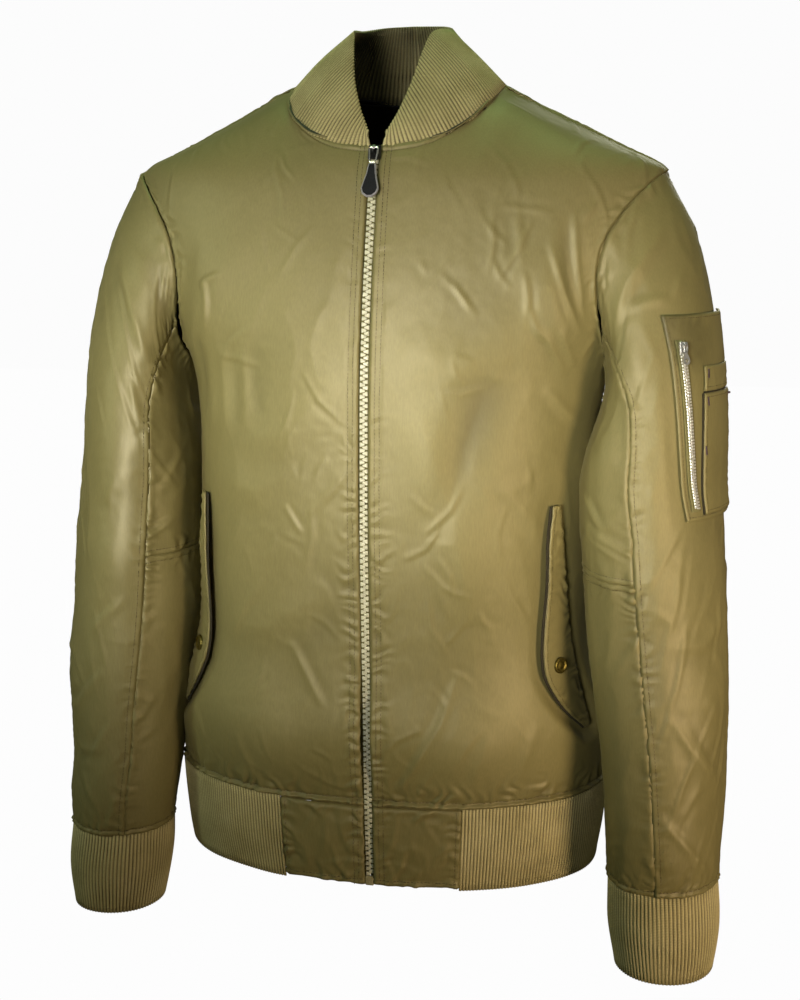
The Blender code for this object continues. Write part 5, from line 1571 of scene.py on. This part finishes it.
# %% Sleeve pocket
ALL_ROUND = ("start", "end", "bottom", "top")
POCKETS = (
    # cloth, sewn edges, flat size, flat area, seed
    (arm_patch, ALL_ROUND, (0.10, 0.172), 0.0166, 51.0),
    (pen_lower, ALL_ROUND, (0.060, 0.102), 0.0058, 55.0),
    (pen_upper, ALL_ROUND[:3], (0.053, 0.0215), 0.0011, 59.0),
)
for cloth, edges, flat, area, seed in POCKETS:
    pad_and_crumple(cloth, swell=0.0008, crumple=0.0005, fine=0.00010, seed=seed)
    for edge in edges:
        seam(cloth, edge, dip=0.0004, roll=0.0003, pucker=0.00015, seed=seed)
    if cloth is arm_patch:
        keep_under(cloth, [pen_lower, pen_upper, arm_tape], reach=0.006, below=0.0002)
    for edge in edges:
        topstitch(cloth, edge, 0.0034, depth=0.0005)
    finish_satin(cloth, flat, area, "laid", thickness=0.0013, lined=False)

# %% [markdown]
# ## Pen slots
# A pen goes in at the side or the top of the lower pen pocket, where the gap
# shows dark; near-black strips there are painted shade. Bartacks hold the corners
# of the slots: dense short bars of thread. Each is made of threads side by side,
# because their ends show.

# %% Pen slots and bartacks
BAR_LENGTH = 0.0075
BAR_WIDTH = 0.0018
BAR_PITCH = 0.0005
BAR_THREAD = 0.00028       # radius
BARS = (
    # cloth, share across, share up, level or upright
    (pen_lower, 0.08, 0.95, False),
    (pen_lower, 0.90, 0.97, True),
    (pen_lower, 0.04, 0.55, False),
    (pen_upper, 0.09, 0.70, False),
)

points, normal, flipped = pen_lower.points, pen_lower.normal, not pen_lower.flipped
# painted shade: dark strips in the mouths of the pen slots
dark_gap("pen_slot_side", points[0], points[2], normal[0], flipped, reach=0.0016)
dark_gap("pen_slot_top", points[:-4, -1], points[:-4, -3], normal[:-4, -1], flipped, reach=0.0016)
bm = bmesh.new()
for cloth, u_share, v_share, level in BARS:
    points = cloth.points
    i, j = int(u_share * (points.shape[0] - 1)), int(v_share * (points.shape[1] - 1))
    middle, out = Vector(cloth.surface()[i, j]), Vector(cloth.normal[i, j])
    along = Vector((points[1, 0] if level else points[0, 1]) - points[0, 0]).normalized()
    for k in range(int(BAR_LENGTH / BAR_PITCH)):
        place = middle + along * (k * BAR_PITCH - BAR_LENGTH / 2) + out * 0.0002
        add_rod(bm, place, out.cross(along).normalized(), BAR_THREAD, BAR_WIDTH)
place_piece(new_object("bartacks", bm, bartack), "satin")
print(len(BARS), "bartacks")

# %% [markdown]
# ## Teeth
# A zip has two rows of teeth that lie between one another. One tooth is a
# bevelled block that narrows towards the middle, so the gaps make a zigzag. A
# texture would turn to a grey band from near by. So one tooth is copied along
# the line of the chain, on either side in turn.

# %% Teeth


def tooth(half, height, depth):
    """One tooth, with its root outwards along x and its face along z."""
    bm = bmesh.new()
    bmesh.ops.create_cube(bm, size=1.0)
    for vert in bm.verts:
        root = vert.co.x > 0
        vert.co.x = half if root else -0.30 * half
        vert.co.y *= height * (1.0 if root else 0.44)
        vert.co.z = (0.0 if root else 0.00015) if vert.co.z > 0 else -depth
    bmesh.ops.bevel(bm, geom=bm.edges[:], offset=height * 0.14, offset_type="OFFSET", segments=1, profile=0.5,
                    affect="EDGES", material=-1, clamp_overlap=True)
    mesh = bpy.data.meshes.new("tooth")
    bm.to_mesh(mesh)
    bm.free()
    return mesh


def row_of_teeth(name, chain, pitch, half, height, depth, material):
    """Teeth of both sides along a chain's middle line."""
    line = (chain.points[0] + chain.points[-1]) / 2
    across = unit(chain.points[-1] - chain.points[0])
    out = unit(chain.normal[0] + chain.normal[-1])
    run = np.concatenate([[0.0], np.cumsum(np.linalg.norm(np.diff(line, axis=0), axis=1))])
    pattern = tooth(half, height, depth)
    bm = bmesh.new()
    for k in range(int(2 * run[-1] / pitch)):
        at = (k + 0.5) * pitch / 2
        middle, right, face = (Vector([np.interp(at, run, field[:, axis]) for axis in range(3)])
                               for field in (line, across, out))
        face.normalize()
        right = (right - face * right.dot(face)).normalized() * (1 if k % 2 else -1)
        turn = Matrix((right, face.cross(right), face)).transposed().to_4x4()
        before = len(bm.verts)
        bm.from_mesh(pattern)
        bm.verts.ensure_lookup_table()
        bmesh.ops.transform(bm, matrix=Matrix.Translation(middle) @ turn, verts=bm.verts[before:])
    bpy.data.meshes.remove(pattern)
    teeth = new_object(name, bm, material)
    teeth.data.shade_flat()
    print(name, len(teeth.data.polygons), "faces")
    return teeth


def faces_front(face):
    return face.normal.y < 0


chain = panel("zip_chain", 2, 22, (-0.0033, -0.1202, -0.6953), (1, 0, 0), 0.0033, rim=0.0027,
              wanted=faces_front)
teeth = row_of_teeth("zip_teeth", chain, pitch=0.0050, half=0.0034, height=0.0040, depth=0.0018,
                     material=resin)
place_piece(teeth, "teeth", "zip_chain")
teeth = row_of_teeth("arm_zip_teeth", arm_chain, pitch=0.0026, half=0.0029, height=0.0021, depth=0.0012,
                     material=nickel)
place_piece(teeth, "arm_teeth", "arm_zip_chain")

# %% [markdown]
# ## Tapes and metal parts
# The teeth are clamped on woven tapes, which are thicker in a cord beside them.
# The sliders, their arches, the wire loops and the box at the foot have the
# right shape as solids. Made again they would gain nothing, so they only take
# their metals.

# %% Tapes and metals


def woven_tape(cloth):
    """A zip tape, woven from the cloth's own grid."""
    piece = cloth.piece(cloth.node + "_woven", 0.0007, tape)
    return place_piece(piece, "tape", cloth.node)


for side_name, side in SIDES:
    cloth = panel("zip_tape_" + side_name, 2, 22, (side * 0.013, -0.1169, -0.7046), (-side, 0, 0), 0.0018,
                  rim=0.0012, wanted=faces_front)
    cloth.height += 0.0003 * gaussian(cloth.to["end"] - 0.0042, 0.0009)      # the cord
    SHEETS.append((woven_tape(cloth), (0.0126, 0.66), 0.0082, "laid", []))
woven_tape(arm_tape)

METALS = (
    (dark_zinc, ("zip_slider", "zip_slider_bridge")),
    (pale_brass, ("zip_box",)),
    (chrome, ("pull_loop", "arm_slider", "arm_slider_bridge", "arm_pull", "arm_pull_bail")),
)
for metal, nodes in METALS:
    for node in nodes:
        NODES[node].data.materials[0] = metal
    print(metal.name, "on", *nodes)

# %% [markdown]
# ## Pull tab
# The pull is a drop of leather. Its cut edge is sealed with paler paint, which
# shows as a thin line round it. A second piece could carry the line, but paint
# has no thickness worth the name, so a narrow band inside the outline is inset
# and takes the paint with the sides.

# %% Pull tab
bm = bmesh.new()
bm.from_mesh(NODES["pull_tab"].data)
bmesh.ops.remove_doubles(bm, verts=bm.verts[:], dist=WELD)
bm.normal_update()
out = max(bm.faces, key=lambda face: face.calc_area()).normal.copy()
broad = [face for face in bm.faces if abs(face.normal.dot(out)) > 0.95]
for face in bm.faces:
    face.material_index = 0 if face in broad else 1
for sign in (1, -1):
    faces = [face for face in broad if face.normal.dot(out) * sign > 0]
    ring = bmesh.ops.inset_region(bm, faces=faces, thickness=0.0005, depth=0.0002, use_even_offset=True)
    for face in ring["faces"]:
        face.material_index = 1
piece = new_object("pull_tab_leather", bm, leather, edge_paint)
piece.data.shade_flat()
place_piece(piece, "leather", "pull_tab", body="main_pull")
print(piece.name, len(piece.data.polygons), "faces")

# %% [markdown]
# ## Neck lining
# Inside the back of the neck the lining shows: black nylon taffeta, plain and
# slack. Left as its solid it would look stiff, so it takes slight crumples. It
# hangs clear of the shell, so it is moved inwards a little.

# %% Neck lining
SLACK = 0.0018

cloth = panel("neck_lining", 13, 6, (0.1327, 0.0002, -0.0278), (-1, 0, 0.5), 0.004, rim=PATCH_RIM)
pad_and_crumple(cloth, swell=0.0008, crumple=0.0006, fine=0.0002, seed=61.0)
cloth.height -= SLACK * np.sign(cloth.normal[:, :, 1].mean())
piece = cloth.piece("neck_lining_cloth", 0.0009, lining)
place_piece(piece, "lining", "neck_lining")
SHEETS.append((piece, (0.30, 0.16), 0.036, "hung", []))
print(piece.name, cloth.points.shape)

# %% [markdown]
# ## Sheets and size
# Each piece of cloth is declared with the flat size at which it would be cut
# and how it is held. Then the whole is measured, so that its box can be set
# beside that of the solids.

for piece, flat, area, held, sewn in SHEETS:
    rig.sheet(piece, flat=flat, held=held, area=area, with_pieces=sewn)
print(len(SHEETS), "sheets")
new_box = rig.bounds()
with open("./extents.json", "w") as file:
    json.dump({"cad": [list(v) for v in cad_box], "visual": [list(v) for v in new_box]}, file)
